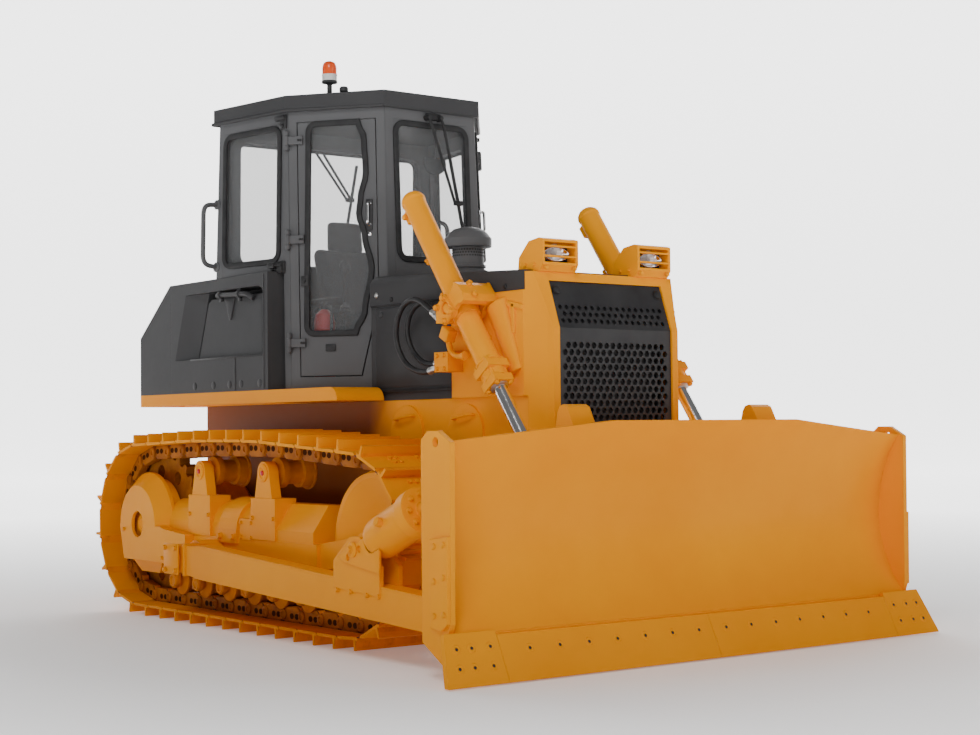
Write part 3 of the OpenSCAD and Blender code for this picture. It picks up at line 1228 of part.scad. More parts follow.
module cutting_edges() color(body) intersection() {
    across(-edge_half, edge_half) edge_profile();
    translate([3400, 0, 0]) rotate([90, 0, 90]) linear_extrude(height = 600) {
        for (s = [-1, 1]) {
            polygon([[s * bit_gap / 2, 0], [s * (bit_in - bit_gap), 0], [s * (bit_in - bit_gap), 205], [s * bit_gap / 2, 205]]);
            polygon([[s * bit_in, 0], [s * edge_half, 0], [s * edge_half, 12], [s * bit_top, 240], [s * bit_in, 240]]);
        }
    }
}
module push_arm() difference() {
    union() {
        across(arm_in, arm_out) {
            translate([trunnion_x, trunnion_z]) circle(r = 80, $fn = 64);
            polygon([[trunnion_x, trunnion_z - 66], [1190, 290], [box_x, 180], [box_x, 336], [1190, 470],
                [trunnion_x, trunnion_z + 72]]);
        }
        // Clevis for the brace
        for (y = [arm_y - brace_half - brace_ear, arm_y + brace_half]) across(y, y + brace_ear) difference() {
            polygon([brace_low + [-190, -190], brace_low + [-190, -60], brace_low + [-40, 62], brace_low + [40, 62],
                brace_low + [210, -70], brace_low + [210, -210]]);
            translate(brace_low) circle(r = brace_pin + seat, $fn = 64);
        }
        // Cover plate with two holes
        across(arm_y + brace_half + brace_ear - e, arm_y + brace_half + brace_ear + 12) difference() {
            polygon([brace_low + [-129, -31], brace_low + [-85, -60], brace_low + [225, -101], brace_low + [226, 19],
                brace_low + [108, 58], brace_low + [90, 58]]);
            for (h = [[-41, -37], [55, 6]]) translate(brace_low + h) circle(r = 17, $fn = 32);
        }
    }
    pin_y(trunnion_x, trunnion_z, trunnion_r + run, arm_in - e, arm_out + e);
    // Clevis and cover are hollowed round the tilt cylinder's end
    brace_axis() translate([0, 0, tilt_start]) rotate_extrude($fn = 64) tilt_body(tilt_room);
}
module push_arms() color(body) both() push_arm();

// Tilt cylinder on the right, screw brace on the left
brace_a = atan2(brace_high[1] - brace_low[1], brace_high[0] - brace_low[0]);
brace_len = norm2(brace_high - brace_low);
module brace_eyes() {
    for (p = [brace_low, brace_high]) {
        pin_y(p[0], p[1], 54, brace_y - brace_half + side_run, brace_y + brace_half - side_run);
        pin_y(p[0], p[1], brace_pin, brace_y - brace_half - brace_ear - 4, brace_y + brace_half + brace_ear - 2);
    }
}
tilt_r = 102;
tilt_l = 360;
tilt_start = 100;
tilt_end_r = 60;
tilt_room = 4;
// Half outline of the tilt cylinder with its round end, grown by a clearance
module tilt_body(grow) polygon(concat([[0, -grow]], [for (k = [0 : 6])
    [tilt_r - tilt_end_r, tilt_end_r] + (tilt_end_r + grow) * dir(-90 + k * 15)], [[tilt_r + grow, tilt_l], [0, tilt_l]]));
module brace_axis() translate([brace_low[0], brace_y, brace_low[1]]) rotate([0, 90 - brace_a, 0]) children();
module blade_braces() color(body) {
    mirror([0, 1, 0]) {
        brace_eyes();
        brace_axis() {
            translate([0, 0, tilt_start]) rotate_extrude($fn = 64) {
                tilt_body(0);
                translate([0, tilt_l - e]) square([tilt_r + 10, 44 + e]);
            }
            translate([0, 0, 40]) cylinder(r = 36, h = tilt_start - 20, $fn = 64);
            translate([0, 0, tilt_start + tilt_l]) cylinder(r = 36, h = brace_len - 40 - tilt_start - tilt_l, $fn = 64);
        }
    }
    brace_eyes();
    brace_axis() {
        translate([0, 0, 120]) cylinder(r = 52, h = 440, $fn = 64);
        translate([0, 0, 40]) cylinder(r = 36, h = brace_len - 80, $fn = 64);
        translate([0, 0, 480]) cylinder(r = 66, h = 90, $fn = 6);
    }
}

placed() main_frame();
placed() engine_block();
placed() radiator();
placed() radiator_guard();
placed() grille();
placed() hood();
placed() engine_side_panels();
placed() air_stack();
placed() headlamps();
placed() headlamp_lenses();
placed() cylinder_yokes();
placed() hose_blocks();
placed() hose_right_upper();
placed() hose_right_lower();
placed() hose_left_upper();
placed() hose_left_lower();
placed() platform();
placed() fuel_tank();
placed() side_boxes();
placed() hydraulic_tank();
placed() cab_floor();
placed() cab_frame();
placed() cab_front_panel();
placed() cab_rear_panel();
placed() cab_side_panels();
placed() cab_glass();
placed() roof();
placed() beacon_lamp();
placed() operator_seat();
placed() controls();
placed() grab_handles();
placed() track_right();
placed() track_left();
placed() track_frame_right();
placed() track_frame_left();
placed() sprockets();
placed() final_drives();
placed() idlers();
placed() track_rollers();
placed() carrier_rollers();
placed() equalizer_bar();
placed() drawbar();
placed() blade();
placed() cutting_edges();
placed() push_arms();
placed() blade_braces();
placed() lift_barrel_right();
placed() lift_barrel_left();
placed() lift_rod_right();
placed() lift_rod_left();
placed() right_door();
placed() right_door_glass();
placed() left_door();
placed() left_door_glass();
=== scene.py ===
# %% [markdown]
# A crawler bulldozer, dressed for its picture.
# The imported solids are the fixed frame: every plate, track and cylinder already has its place.
# This lesson adds what a solid modeller leaves out, such as paint, rubber, bolts, wipers and
# seat cushions, and each new piece rides on the body that carries it on the machine.

# %% Load the frame
import math

import bmesh
import bpy
from mathutils import Matrix, Vector


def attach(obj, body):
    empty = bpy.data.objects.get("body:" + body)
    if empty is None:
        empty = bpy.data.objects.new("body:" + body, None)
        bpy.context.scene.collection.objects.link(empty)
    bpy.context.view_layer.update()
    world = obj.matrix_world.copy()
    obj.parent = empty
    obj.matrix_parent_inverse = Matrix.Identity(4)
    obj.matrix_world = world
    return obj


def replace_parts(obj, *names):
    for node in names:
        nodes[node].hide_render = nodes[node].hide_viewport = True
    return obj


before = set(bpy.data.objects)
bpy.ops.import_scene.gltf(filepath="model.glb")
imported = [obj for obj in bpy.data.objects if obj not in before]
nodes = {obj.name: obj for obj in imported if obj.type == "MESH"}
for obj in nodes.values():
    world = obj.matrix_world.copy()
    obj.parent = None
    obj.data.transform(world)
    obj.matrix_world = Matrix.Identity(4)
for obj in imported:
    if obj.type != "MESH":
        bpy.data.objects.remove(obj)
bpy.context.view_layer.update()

# %% [markdown]
# The drawings of the machine count millimetres from the sprocket axle, and the frame counts metres
# from the middle of its length. One small function turns the first into the second, so that every
# number below can be read off the machine itself.

# %% Machine millimetres to frame metres
MIDDLE = 1560.5


def at(x, y, z):
    return Vector(((x - MIDDLE) / 1000, y / 1000, z / 1000))


def mm(value):
    return value / 1000


# %% [markdown]
# The camera stands low, ahead and to the right of the machine, with a mild telephoto lens.
# Its place and turn were found by matching corners of the machine to the picture.

# %% Camera
yaw, pitch, roll = (math.radians(v) for v in (142.81, 2.012, -0.546))
look = Vector((math.cos(yaw) * math.cos(pitch), math.sin(yaw) * math.cos(pitch), math.sin(pitch)))
flat_right = Vector((math.sin(yaw), -math.cos(yaw), 0))
flat_up = flat_right.cross(look)
right = flat_right * math.cos(roll) + flat_up * math.sin(roll)
up = flat_up * math.cos(roll) - flat_right * math.sin(roll)
camera = bpy.data.objects.new("camera", bpy.data.cameras.new("camera"))
bpy.context.scene.collection.objects.link(camera)
camera.matrix_world = Matrix.Translation((8.2515, -5.916, 1.094)) @ Matrix(
    (right, up, -look)
).transposed().to_4x4()
SENSOR, PICTURE_WIDTH, FOCAL = 36, 980, 1759.18
camera.data.sensor_width = SENSOR
camera.data.sensor_fit = "HORIZONTAL"
camera.data.lens = FOCAL / PICTURE_WIDTH * SENSOR
camera.data.clip_end = 400
bpy.context.scene.camera = camera
print("lens", round(camera.data.lens, 2))

# %% [markdown]
# Four hydraulic hoses loop from the block beside the engine to the fitting at each lift cylinder's
# yoke. A hose is a stiff rubber tube of fixed length, so it is drawn as one smooth curve through the
# route's points, with no bend tighter than the rubber allows, and it replaces its plain solid.

# %% Hoses
HOSE = 0.030
inner_route = [
    (2310, 530, 1450), (2230, 531, 1442), (2140, 533, 1452), (2060, 536, 1496), (2008, 539, 1560),
    (1990, 540, 1630), (2008, 540, 1700), (2060, 539, 1752), (2130, 537, 1774), (2200, 534, 1764),
    (2265, 531, 1728), (2330, 530, 1700),
]
outer_route = [
    (2310, 570, 1418), (2230, 572, 1400), (2130, 576, 1408), (2040, 582, 1450), (1980, 586, 1520),
    (1955, 588, 1600), (1965, 588, 1680), (2005, 586, 1745), (2070, 583, 1784), (2140, 579, 1786),
    (2215, 574, 1752), (2330, 570, 1676),
]


def smooth_route(points, parts):
    """Points on a Catmull-Rom curve through the route."""
    ends = [points[0] * 2 - points[1], *points, points[-1] * 2 - points[-2]]
    line = []
    for a, b, c, d in zip(ends, ends[1:], ends[2:], ends[3:]):
        for k in range(parts):
            t = k / parts
            line.append(
                ((b * 2) + (c - a) * t + (a * 2 - b * 5 + c * 4 - d) * t * t
                 + (b * 3 - a - c * 3 + d) * t ** 3) / 2
            )
    return line + [points[-1]]


hoses = {}
for side, sign in (("right", -1), ("left", 1)):
    for level, route in (("upper", inner_route), ("lower", outer_route)):
        line = smooth_route([at(x, sign * y, z) for x, y, z in route], 3)
        curve = bpy.data.curves.new(f"hose_{side}_{level}_rubber", "CURVE")
        curve.dimensions = "3D"
        curve.bevel_depth = HOSE / 2
        curve.bevel_resolution = 4
        curve.use_fill_caps = True
        spline = curve.splines.new("POLY")
        spline.points.add(len(line) - 1)
        for point, place in zip(spline.points, line):
            point.co = (*place, 1)
        spline.use_smooth = True
        hose = bpy.data.objects.new(curve.name, curve)
        bpy.context.scene.collection.objects.link(hose)
        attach(hose, "hull")
        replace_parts(hose, f"hose_{side}_{level}")
        hoses[hose.name] = hose

# %% [markdown]
# Small helpers shape every metal and plastic piece. Each one starts from a shape that Blender
# knows, such as a cube, a cone or a circle, and moves, bevels, spins or extrudes it.
# Reading them once makes the rest of the lesson short.

# %% Shaping helpers
Y = Vector((0, 1, 0))
Z = Vector((0, 0, 1))


def aim(direction):
    """A turn that points local Z along a direction."""
    return direction.to_track_quat("Z", "Y").to_matrix().to_4x4()


def points_of(geom):
    """The points among what an operator gives back."""
    return [g for g in geom if isinstance(g, bmesh.types.BMVert)]


def slab(bm, low, high, edge=0.0, place=None, segments=2):
    """A box between two corners with rounded edges."""
    made = bmesh.ops.create_cube(bm, size=1)["verts"]
    bmesh.ops.scale(bm, vec=high - low, verts=made)
    bmesh.ops.translate(bm, vec=(low + high) / 2, verts=made)
    if edge:
        edges = list({e for v in made for e in v.link_edges})
        made = bmesh.ops.bevel(bm, geom=edges, offset=edge, segments=segments, profile=0.5,
                               affect="EDGES", material=-1)["verts"]
    if place:
        bmesh.ops.transform(bm, matrix=place, verts=made)
    return made


def rod(bm, start, end, radius, tip=None, sides=24, edge=0.0):
    """A round bar, or a cone where the tip has another radius."""
    tip = radius if tip is None else tip
    place = Matrix.Translation((start + end) / 2) @ aim(end - start)
    made = bmesh.ops.create_cone(bm, cap_ends=True, segments=sides, radius1=radius, radius2=tip,
                                 depth=(end - start).length, matrix=place)["verts"]
    if edge:
        rims = [e for e in {e for v in made for e in v.link_edges}
                if any(len(f.verts) == sides for f in e.link_faces)]
        bmesh.ops.bevel(bm, geom=rims, offset=edge, segments=2, profile=0.5, affect="EDGES",
                        material=-1)


def turned(bm, outline, foot, axis, steps=32):
    """A lathe: radius and height pairs spun about an axis."""
    place = Matrix.Translation(foot) @ aim(axis)
    verts = [bm.verts.new((r, 0, h)) for r, h in outline]
    edges = [bm.edges.new(pair) for pair in zip(verts, verts[1:])]
    bmesh.ops.spin(bm, geom=verts + edges, cent=(0, 0, 0), axis=(0, 0, 1), angle=math.tau,
                   steps=steps, use_merge=True)
    made = {v for v in verts if v.is_valid}
    todo = list(made)
    while todo:
        for e in todo.pop().link_edges:
            for v in e.verts:
                if v not in made:
                    made.add(v)
                    todo.append(v)
    made = list(made)
    bmesh.ops.remove_doubles(bm, verts=made, dist=1e-5)
    bmesh.ops.transform(bm, matrix=place, verts=[v for v in made if v.is_valid])


def bolt(bm, foot, axis, across, height=None, washer=True):
    """A hexagon head with its washer."""
    height = height or across * 0.6
    if washer:
        rod(bm, foot, foot + axis * across * 0.14, across * 0.66, sides=16)
    rod(bm, foot, foot + axis * height, across * 0.56, across * 0.52, sides=6)


def pipe(bm, route, radius, sides=12):
    """A tube pulled along a route."""
    headings = []
    for i in range(len(route)):
        a, b = route[max(i - 1, 0)], route[min(i + 1, len(route) - 1)]
        headings.append((b - a).normalized())
    turn = aim(headings[0])
    place = Matrix.Translation(route[0]) @ turn
    ring = bmesh.ops.create_circle(bm, cap_ends=True, radius=radius, segments=sides, matrix=place)
    edges = list({e for v in ring["verts"] for e in v.link_edges})
    for i in range(1, len(route)):
        turn = headings[i - 1].rotation_difference(headings[i]).to_matrix().to_4x4() @ turn
        step = bmesh.ops.extrude_edge_only(bm, edges=edges)["geom"]
        verts = set(points_of(step))
        edges = [g for g in step if isinstance(g, bmesh.types.BMEdge) and set(g.verts) <= verts]
        after = Matrix.Translation(route[i]) @ turn
        bmesh.ops.transform(bm, matrix=after @ place.inverted(), verts=list(verts))
        place = after
    bmesh.ops.contextual_create(bm, geom=edges)


def bent(points, radius, parts=5):
    """A route with round bends at its inner corners."""
    line = [points[0]]
    for a, b, c in zip(points, points[1:], points[2:]):
        p = b + (a - b).normalized() * min(radius, (a - b).length * 0.49)
        q = b + (c - b).normalized() * min(radius, (c - b).length * 0.49)
        for k in range(parts + 1):
            t = k / parts
            line.append(p * (1 - t) ** 2 + b * 2 * t * (1 - t) + q * t * t)
    return line + [points[-1]]


def outline_plate(bm, corners, thick, place, edge=0.0):
    """A flat outline extruded along its local Z."""
    face = bm.faces.new([bm.verts.new((x, y, 0)) for x, y in corners])
    top = bmesh.ops.extrude_face_region(bm, geom=[face])["geom"]
    raised = points_of(top)
    bmesh.ops.translate(bm, vec=(0, 0, thick), verts=raised)
    made = list({v for r in raised for e in r.link_edges for v in e.verts} | set(raised))
    if edge:
        rims = [e for e in {e for v in raised for e in v.link_edges} if set(e.verts) <= set(raised)]
        out = bmesh.ops.bevel(bm, geom=rims, offset=edge, segments=2, profile=0.5, affect="EDGES",
                              material=-1)
        made = list({v for v in made if v.is_valid} | set(out["verts"]))
    bmesh.ops.transform(bm, matrix=place, verts=made)


def piece(name, bm, finish, body, smooth=35):
    """Turns a bmesh into an object that rides on a body."""
    bmesh.ops.recalc_face_normals(bm, faces=bm.faces)
    mesh = bpy.data.meshes.new(name)
    bm.to_mesh(mesh)
    bm.free()
    mesh.shade_smooth()
    mesh.set_sharp_from_angle(angle=math.radians(smooth))
    mesh.materials.append(finish)
    made = bpy.data.objects.new(name, mesh)
    bpy.context.scene.collection.objects.link(made)
    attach(made, body)
    print(name, "faces", len(mesh.polygons))
    return made

# %% [markdown]
# Paint is never one flat colour. The yellow enamel varies a little from panel to panel, gathers
# dust low down, and has the fine ripple of a sprayed coat. The patterns read Object coordinates,
# which are metres in the machine's frame, so their scale is real. A Bevel node softens the light
# on every sharp edge, as folded and welded plate does.

# %% Finish helpers
def new_finish(name):
    finish = bpy.data.materials.new(name)
    finish.use_nodes = True
    tree = finish.node_tree
    return finish, tree, tree.nodes["Principled BSDF"]


def add(tree, kind, settings=None, **inputs):
    """A node with its settings and with numbers or links on its inputs."""
    made = tree.nodes.new("ShaderNode" + kind)
    for key, value in (settings or {}).items():
        setattr(made, key, value)
    for key, value in inputs.items():
        socket = made.inputs[key.replace("_", " ")]
        if isinstance(value, bpy.types.NodeSocket):
            tree.links.new(value, socket)
        else:
            socket.default_value = value
    return made


def place_of(tree):
    return add(tree, "TexCoord").outputs["Object"]


def ramp(tree, factor, stops):
    made = add(tree, "ValToRGB", Fac=factor)
    elements = made.color_ramp.elements
    while len(elements) < len(stops):
        elements.new(0.5)
    for element, (spot, colour) in zip(elements, stops):
        element.position = spot
        element.color = (*colour, 1)
    return made.outputs["Color"]


def noise(tree, scale, detail=4.0, rough=0.55):
    return add(tree, "TexNoise", Vector=place_of(tree), Scale=scale, Detail=detail,
               Roughness=rough).outputs["Fac"]


def span(tree, factor, low, high):
    return add(tree, "MapRange", Value=factor, To_Min=low, To_Max=high).outputs["Result"]


def mixed(tree, factor, first, second):
    made = add(tree, "Mix", {"data_type": "RGBA"})
    for socket, value in (("Factor", factor), ("A", first), ("B", second)):
        spot = next(i for i in made.inputs if i.name == socket and i.enabled)
        if isinstance(value, bpy.types.NodeSocket):
            tree.links.new(value, spot)
        else:
            spot.default_value = value if socket == "Factor" else (*value, 1)
    return next(o for o in made.outputs if o.enabled)


def surface(tree, shader, edge, ripple, depth, strength):
    """Softened edges under a fine ripple."""
    soft = add(tree, "Bevel", {"samples": 4}, Radius=edge).outputs["Normal"]
    bump = add(tree, "Bump", Strength=strength, Distance=depth, Height=ripple, Normal=soft)
    tree.links.new(bump.outputs["Normal"], shader.inputs["Normal"])


# %% Yellow enamel
def enamel(name, deep, bright, dusty, dust_share, edge=0.006, shine=0.36, coat=0.03, soil_and_shade=None):
    """Sprayed paint: two near tones, dust that thins with height, a rippled coat, and optional painted
    shade with soil.
    """
    finish, tree, shader = new_finish(name)
    tone = ramp(tree, noise(tree, 1.3, 3), [(0.3, deep), (0.7, bright)])
    height = add(tree, "SeparateXYZ", Vector=place_of(tree)).outputs["Z"]
    low = add(tree, "MapRange", Value=height, From_Min=0.1, From_Max=1.5, To_Min=dust_share,
              To_Max=0.0).outputs["Result"]
    speck = span(tree, noise(tree, 9, 6, 0.65), 0.2, 1.5)
    dust = add(tree, "Math", {"operation": "MULTIPLY", "use_clamp": True})
    tree.links.new(low, dust.inputs[0])
    tree.links.new(speck, dust.inputs[1])
    paint = mixed(tree, dust.outputs[0], tone, dusty)
    if soil_and_shade:
        # Painted shade with some oily soil: dark brown behind the tracks and under the platform, which
        # shades the hull
        rear = add(tree, "SeparateXYZ", Vector=place_of(tree)).outputs["X"]
        back = add(tree, "MapRange", Value=rear, From_Min=-0.05, From_Max=0.25, To_Min=0.94, To_Max=0.0)
        down = add(tree, "MapRange", Value=height, From_Min=0.85, From_Max=1.05, To_Min=0.88, To_Max=0.0)
        soil_and_shade_mask = add(tree, "Math", {"operation": "MAXIMUM"})
        tree.links.new(back.outputs["Result"], soil_and_shade_mask.inputs[0])
        tree.links.new(down.outputs["Result"], soil_and_shade_mask.inputs[1])
        paint = mixed(tree, soil_and_shade_mask.outputs[0], paint, soil_and_shade)
    tree.links.new(paint, shader.inputs["Base Color"])
    tree.links.new(span(tree, noise(tree, 26, 5), shine - 0.06, shine + 0.12),
                   shader.inputs["Roughness"])
    shader.inputs["Coat Weight"].default_value = coat
    shader.inputs["Coat Roughness"].default_value = 0.18
    shader.inputs["Specular IOR Level"].default_value = 0.06
    surface(tree, shader, edge, noise(tree, 160, 2), 0.0006, 0.12)
    return finish


DEEP, BRIGHT, DUSTY = (0.91, 0.315, 0.0001), (0.98, 0.375, 0.0001), (0.62, 0.20, 0.004)
yellow = enamel("yellow_enamel", DEEP, BRIGHT, DUSTY, 0.14, coat=0.0)
blade_yellow = enamel("blade_enamel", DEEP, BRIGHT, (0.70, 0.23, 0.004), 0.10, edge=0.005, shine=0.38,
                      coat=0.0)
# The hull frame's dark brown behind the tracks and under the platform is painted shade with some soil.
frame_yellow = enamel("frame_enamel", DEEP, BRIGHT, DUSTY, 0.14, coat=0.0,
                      soil_and_shade=(0.20, 0.055, 0.010))
track_yellow = enamel("track_paint", (0.88, 0.30, 0.0003), (0.97, 0.365, 0.0003), (0.50, 0.165, 0.006),
                      0.22, edge=0.003, shine=0.5, coat=0.0)
charcoal = enamel("charcoal_enamel", (0.050, 0.050, 0.052), (0.062, 0.062, 0.064), (0.10, 0.09, 0.075),
                  0.05, edge=0.006, shine=0.38)
cab_grey = enamel("cab_enamel", (0.100, 0.101, 0.104), (0.122, 0.123, 0.127), (0.13, 0.12, 0.10), 0.04,
                  edge=0.006, shine=0.38)
print("enamels", yellow.name, blade_yellow.name, track_yellow.name, charcoal.name)

# %% [markdown]
# Rolled link steel and bare iron take a browner coat, where paint and dust meet, and the chain's bolt
# pockets a near-black brown that is painted shade.
# Chrome, rubber, glass, fabric and plastic each get their own shader, with constants set straight
# on its sockets and only what varies coming from a texture.

# %% Other finishes
def grainy(name, colour, other, scale, rough, bump=0.0, grain=300, metal=0.0, edge=0.003, gloss=0.4):
    """A finish of two tones with a grain."""
    finish, tree, shader = new_finish(name)
    tree.links.new(ramp(tree, noise(tree, scale, 5), [(0.35, colour), (0.68, other)]),
                   shader.inputs["Base Color"])
    tree.links.new(span(tree, noise(tree, scale * 3, 4), rough - 0.07, rough + 0.09),
                   shader.inputs["Roughness"])
    shader.inputs["Metallic"].default_value = metal
    shader.inputs["Specular IOR Level"].default_value = gloss
    surface(tree, shader, edge, noise(tree, grain, 3), 0.001, max(bump, 0.02))
    return finish


chain_brown = grainy("chain_brown", (0.30, 0.098, 0.012), (0.52, 0.175, 0.014), 9, 0.6, 0.2, 90, gloss=0.1)
# Near-black brown: painted shade for the bolt pockets of the chain links.
pocket_shade_paint = grainy("pocket_shade_paint", (0.045, 0.016, 0.005), (0.070, 0.025, 0.007), 12, 0.8, 0.2, 120,
                      gloss=0.04)
roller_paint = grainy("roller_paint", (0.55, 0.175, 0.004), (0.78, 0.255, 0.004), 7, 0.55, 0.15, 120,
                      gloss=0.1)
black_iron = grainy("black_iron", (0.018, 0.018, 0.02), (0.035, 0.034, 0.034), 5, 0.5, 0.15, 120)
mesh_black = grainy("grille_black", (0.022, 0.022, 0.024), (0.034, 0.034, 0.036), 6, 0.42, 0.05, 200,
                    edge=0.002)
rubber = grainy("black_rubber", (0.012, 0.012, 0.013), (0.024, 0.024, 0.025), 14, 0.62, 0.25, 380,
                edge=0.002)
hose_rubber = grainy("hose_rubber", (0.014, 0.014, 0.015), (0.026, 0.026, 0.027), 22, 0.48, 0.2, 420,
                     edge=0.001)
black_plastic = grainy("grained_plastic", (0.02, 0.02, 0.021), (0.032, 0.032, 0.033), 10, 0.5, 0.3, 700)
chrome = grainy("polished_chrome", (0.80, 0.80, 0.81), (0.86, 0.86, 0.87), 12, 0.13, 0.02, 300, 1.0, 0.002)
zinc = grainy("zinc_plate", (0.50, 0.50, 0.49), (0.66, 0.65, 0.62), 30, 0.34, 0.05, 300, 1.0, 0.002)
red_paint = grainy("red_paint", (0.50, 0.012, 0.010), (0.62, 0.02, 0.014), 6, 0.33, 0.05, 200)
white_plastic = grainy("white_plastic", (0.62, 0.61, 0.58), (0.72, 0.71, 0.68), 9, 0.42, 0.05, 200)
reflector = grainy("lamp_mirror", (0.84, 0.84, 0.85), (0.9, 0.9, 0.9), 20, 0.12, 0.02, 300, 1.0, 0.001)
print("grainy finishes", chain_brown.name, "to", reflector.name)


# %% Shoes and chain rails
def shoe_and_chain(name):
    """Yellow on the shoes, dark brown on upright sides: the chain rails' own colour, and painted shade in
    the gaps between shoes.
    """
    finish, tree, shader = new_finish(name)
    tone = ramp(tree, noise(tree, 2.4, 4), [(0.3, (0.74, 0.215, 0.001)), (0.7, (0.93, 0.300, 0.001))])
    worn = ramp(tree, noise(tree, 11, 6, 0.7), [(0.50, (0, 0, 0)), (0.78, (0.55, 0.55, 0.55))])
    shoe = mixed(tree, worn, tone, (0.34, 0.105, 0.010))
    steep = add(tree, "SeparateXYZ", Vector=add(tree, "NewGeometry").outputs["Normal"]).outputs["Y"]

    def maths(operation, first, second=0.0):
        made = add(tree, "Math", {"operation": operation})
        tree.links.new(first, made.inputs[0])
        made.inputs[1].default_value = second
        return made.outputs[0]

    # Upright sides: dark brown of the chain rails, and painted shade in the gaps between shoes.
    rail_and_gap_shade = maths("GREATER_THAN", maths("ABSOLUTE", steep), 0.6)
    tree.links.new(mixed(tree, rail_and_gap_shade, shoe, (0.085, 0.026, 0.006)), shader.inputs["Base Color"])
    tree.links.new(span(tree, noise(tree, 30, 5), 0.42, 0.66), shader.inputs["Roughness"])
    shader.inputs["Specular IOR Level"].default_value = 0.25
    surface(tree, shader, 0.003, noise(tree, 140, 3), 0.0007, 0.18)
    return finish


# %% Glass, lens and amber
def clear(name, tint, alpha, rough, through=0.0):
    finish, tree, shader = new_finish(name)
    tree.links.new(ramp(tree, noise(tree, 2.2, 3), [(0.3, tint), (0.75, [min(1, c * 1.08) for c in tint])]),
                   shader.inputs["Base Color"])
    shader.inputs["Alpha"].default_value = alpha
    shader.inputs["Transmission Weight"].default_value = through
    tree.links.new(span(tree, noise(tree, 7, 4), rough, rough + 0.05), shader.inputs["Roughness"])
    shader.inputs["IOR"].default_value = 1.5
    return finish


window_glass = clear("window_glass", (0.25, 0.255, 0.26), 0.22, 0.01)
lens_glass = clear("lens_glass", (0.92, 0.93, 0.92), 0.35, 0.03)
amber = clear("amber_dome", (0.80, 0.075, 0.003), 0.94, 0.12, 0.15)


# %% Seat cloth
def woven(name, dark, light):
    """A plain weave: two crossed sets of threads, a few millimetres apart."""
    finish, tree, shader = new_finish(name)
    place = place_of(tree)
    warp = add(tree, "TexWave", {"bands_direction": "Y"}, Vector=place, Scale=70.0, Distortion=0.6)
    weft = add(tree, "TexWave", {"bands_direction": "Z"}, Vector=place, Scale=70.0, Distortion=0.6)
    threads = add(tree, "Math", {"operation": "MAXIMUM"})
    tree.links.new(warp.outputs["Fac"], threads.inputs[0])
    tree.links.new(weft.outputs["Fac"], threads.inputs[1])
    tree.links.new(ramp(tree, threads.outputs[0], [(0.2, dark), (0.9, light)]), shader.inputs["Base Color"])
    shader.inputs["Roughness"].default_value = 0.85
    shader.inputs["Sheen Weight"].default_value = 0.3
    surface(tree, shader, 0.004, threads.outputs[0], 0.0008, 0.3)
    return finish


seat_cloth = woven("seat_cloth", (0.022, 0.022, 0.024), (0.05, 0.05, 0.054))
print("cloth", seat_cloth.name)

# %% [markdown]
# Each solid of the frame gets the finish of the real piece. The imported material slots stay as
# they are in number, and only their contents change.

# %% Finishes on the frame
track_paint = shoe_and_chain("shoe_and_chain")
finishes = {
    frame_yellow: ["main_frame", "equalizer_bar"],
    yellow: ["radiator_guard", "headlamps", "cylinder_yokes", "hose_blocks", "platform",
             "track_frame_right", "track_frame_left", "final_drives", "idlers", "drawbar",
             "lift_barrel_right", "lift_barrel_left", "push_arms", "blade_braces"],
    blade_yellow: ["blade", "cutting_edges"],
    track_paint: ["track_right", "track_left"],
    chain_brown: ["sprockets"],
    roller_paint: ["carrier_rollers", "track_rollers"],
    charcoal: ["hood", "engine_side_panels", "fuel_tank", "side_boxes", "hydraulic_tank", "roof"],
    cab_grey: ["cab_frame", "cab_front_panel", "cab_rear_panel", "cab_side_panels", "right_door",
               "left_door", "grab_handles", "air_stack"],
    mesh_black: ["grille"],
    black_iron: ["engine_block", "radiator"],
    rubber: ["cab_floor"],
    black_plastic: ["controls"],
    chrome: ["lift_rod_right", "lift_rod_left"],
    window_glass: ["cab_glass", "right_door_glass", "left_door_glass"],
    lens_glass: ["headlamp_lenses"],
    amber: ["beacon_lamp"],
    seat_cloth: ["operator_seat"],
}
for finish, names in finishes.items():
    for name in names:
        for spot in nodes[name].material_slots:
            spot.material = finish
for hose in hoses.values():
    hose.data.materials.append(hose_rubber)
print("finished nodes", sum(len(names) for names in finishes.values()))

# %% [markdown]
# The cab stands on six leaning walls. To hang rubber, handles and wipers on a wall, a piece is drawn
# flat in the wall's own plane, with x along the wall, y up it and z out of it, and one matrix per wall
# then carries it to its place.

# %% Wall planes of the cab
FLOOR, TOP = 1334, 2955
POST, GAP = 55, 6


def heading(a):
    return Vector((math.cos(a), math.sin(a)))


def outward(a):
    return Vector((math.sin(a), -math.cos(a)))


def meet(p, a, q, b):
    d, f, w = heading(a), heading(b), q - p
    return p + d * ((w.x * f.y - w.y * f.x) / (d.x * f.y - d.y * f.x))


front_post, door_post, rear_post = Vector((1458, -318)), Vector((985, -682)), Vector((354, -790))
side_turn = math.atan2(*(door_post - rear_post).yx)
door_turn = math.atan2(*(front_post - door_post).yx)
quarter = math.pi / 2
front_foot = meet(front_post + outward(quarter) * 70, quarter, front_post + outward(door_turn) * 60,
                  door_turn)
door_foot = meet(door_post + outward(door_turn) * 60, door_turn, door_post + outward(side_turn) * 34,
                 side_turn)
rear_foot = meet(rear_post + outward(side_turn) * 34, side_turn, rear_post + outward(-quarter) * 25,
                 -quarter)


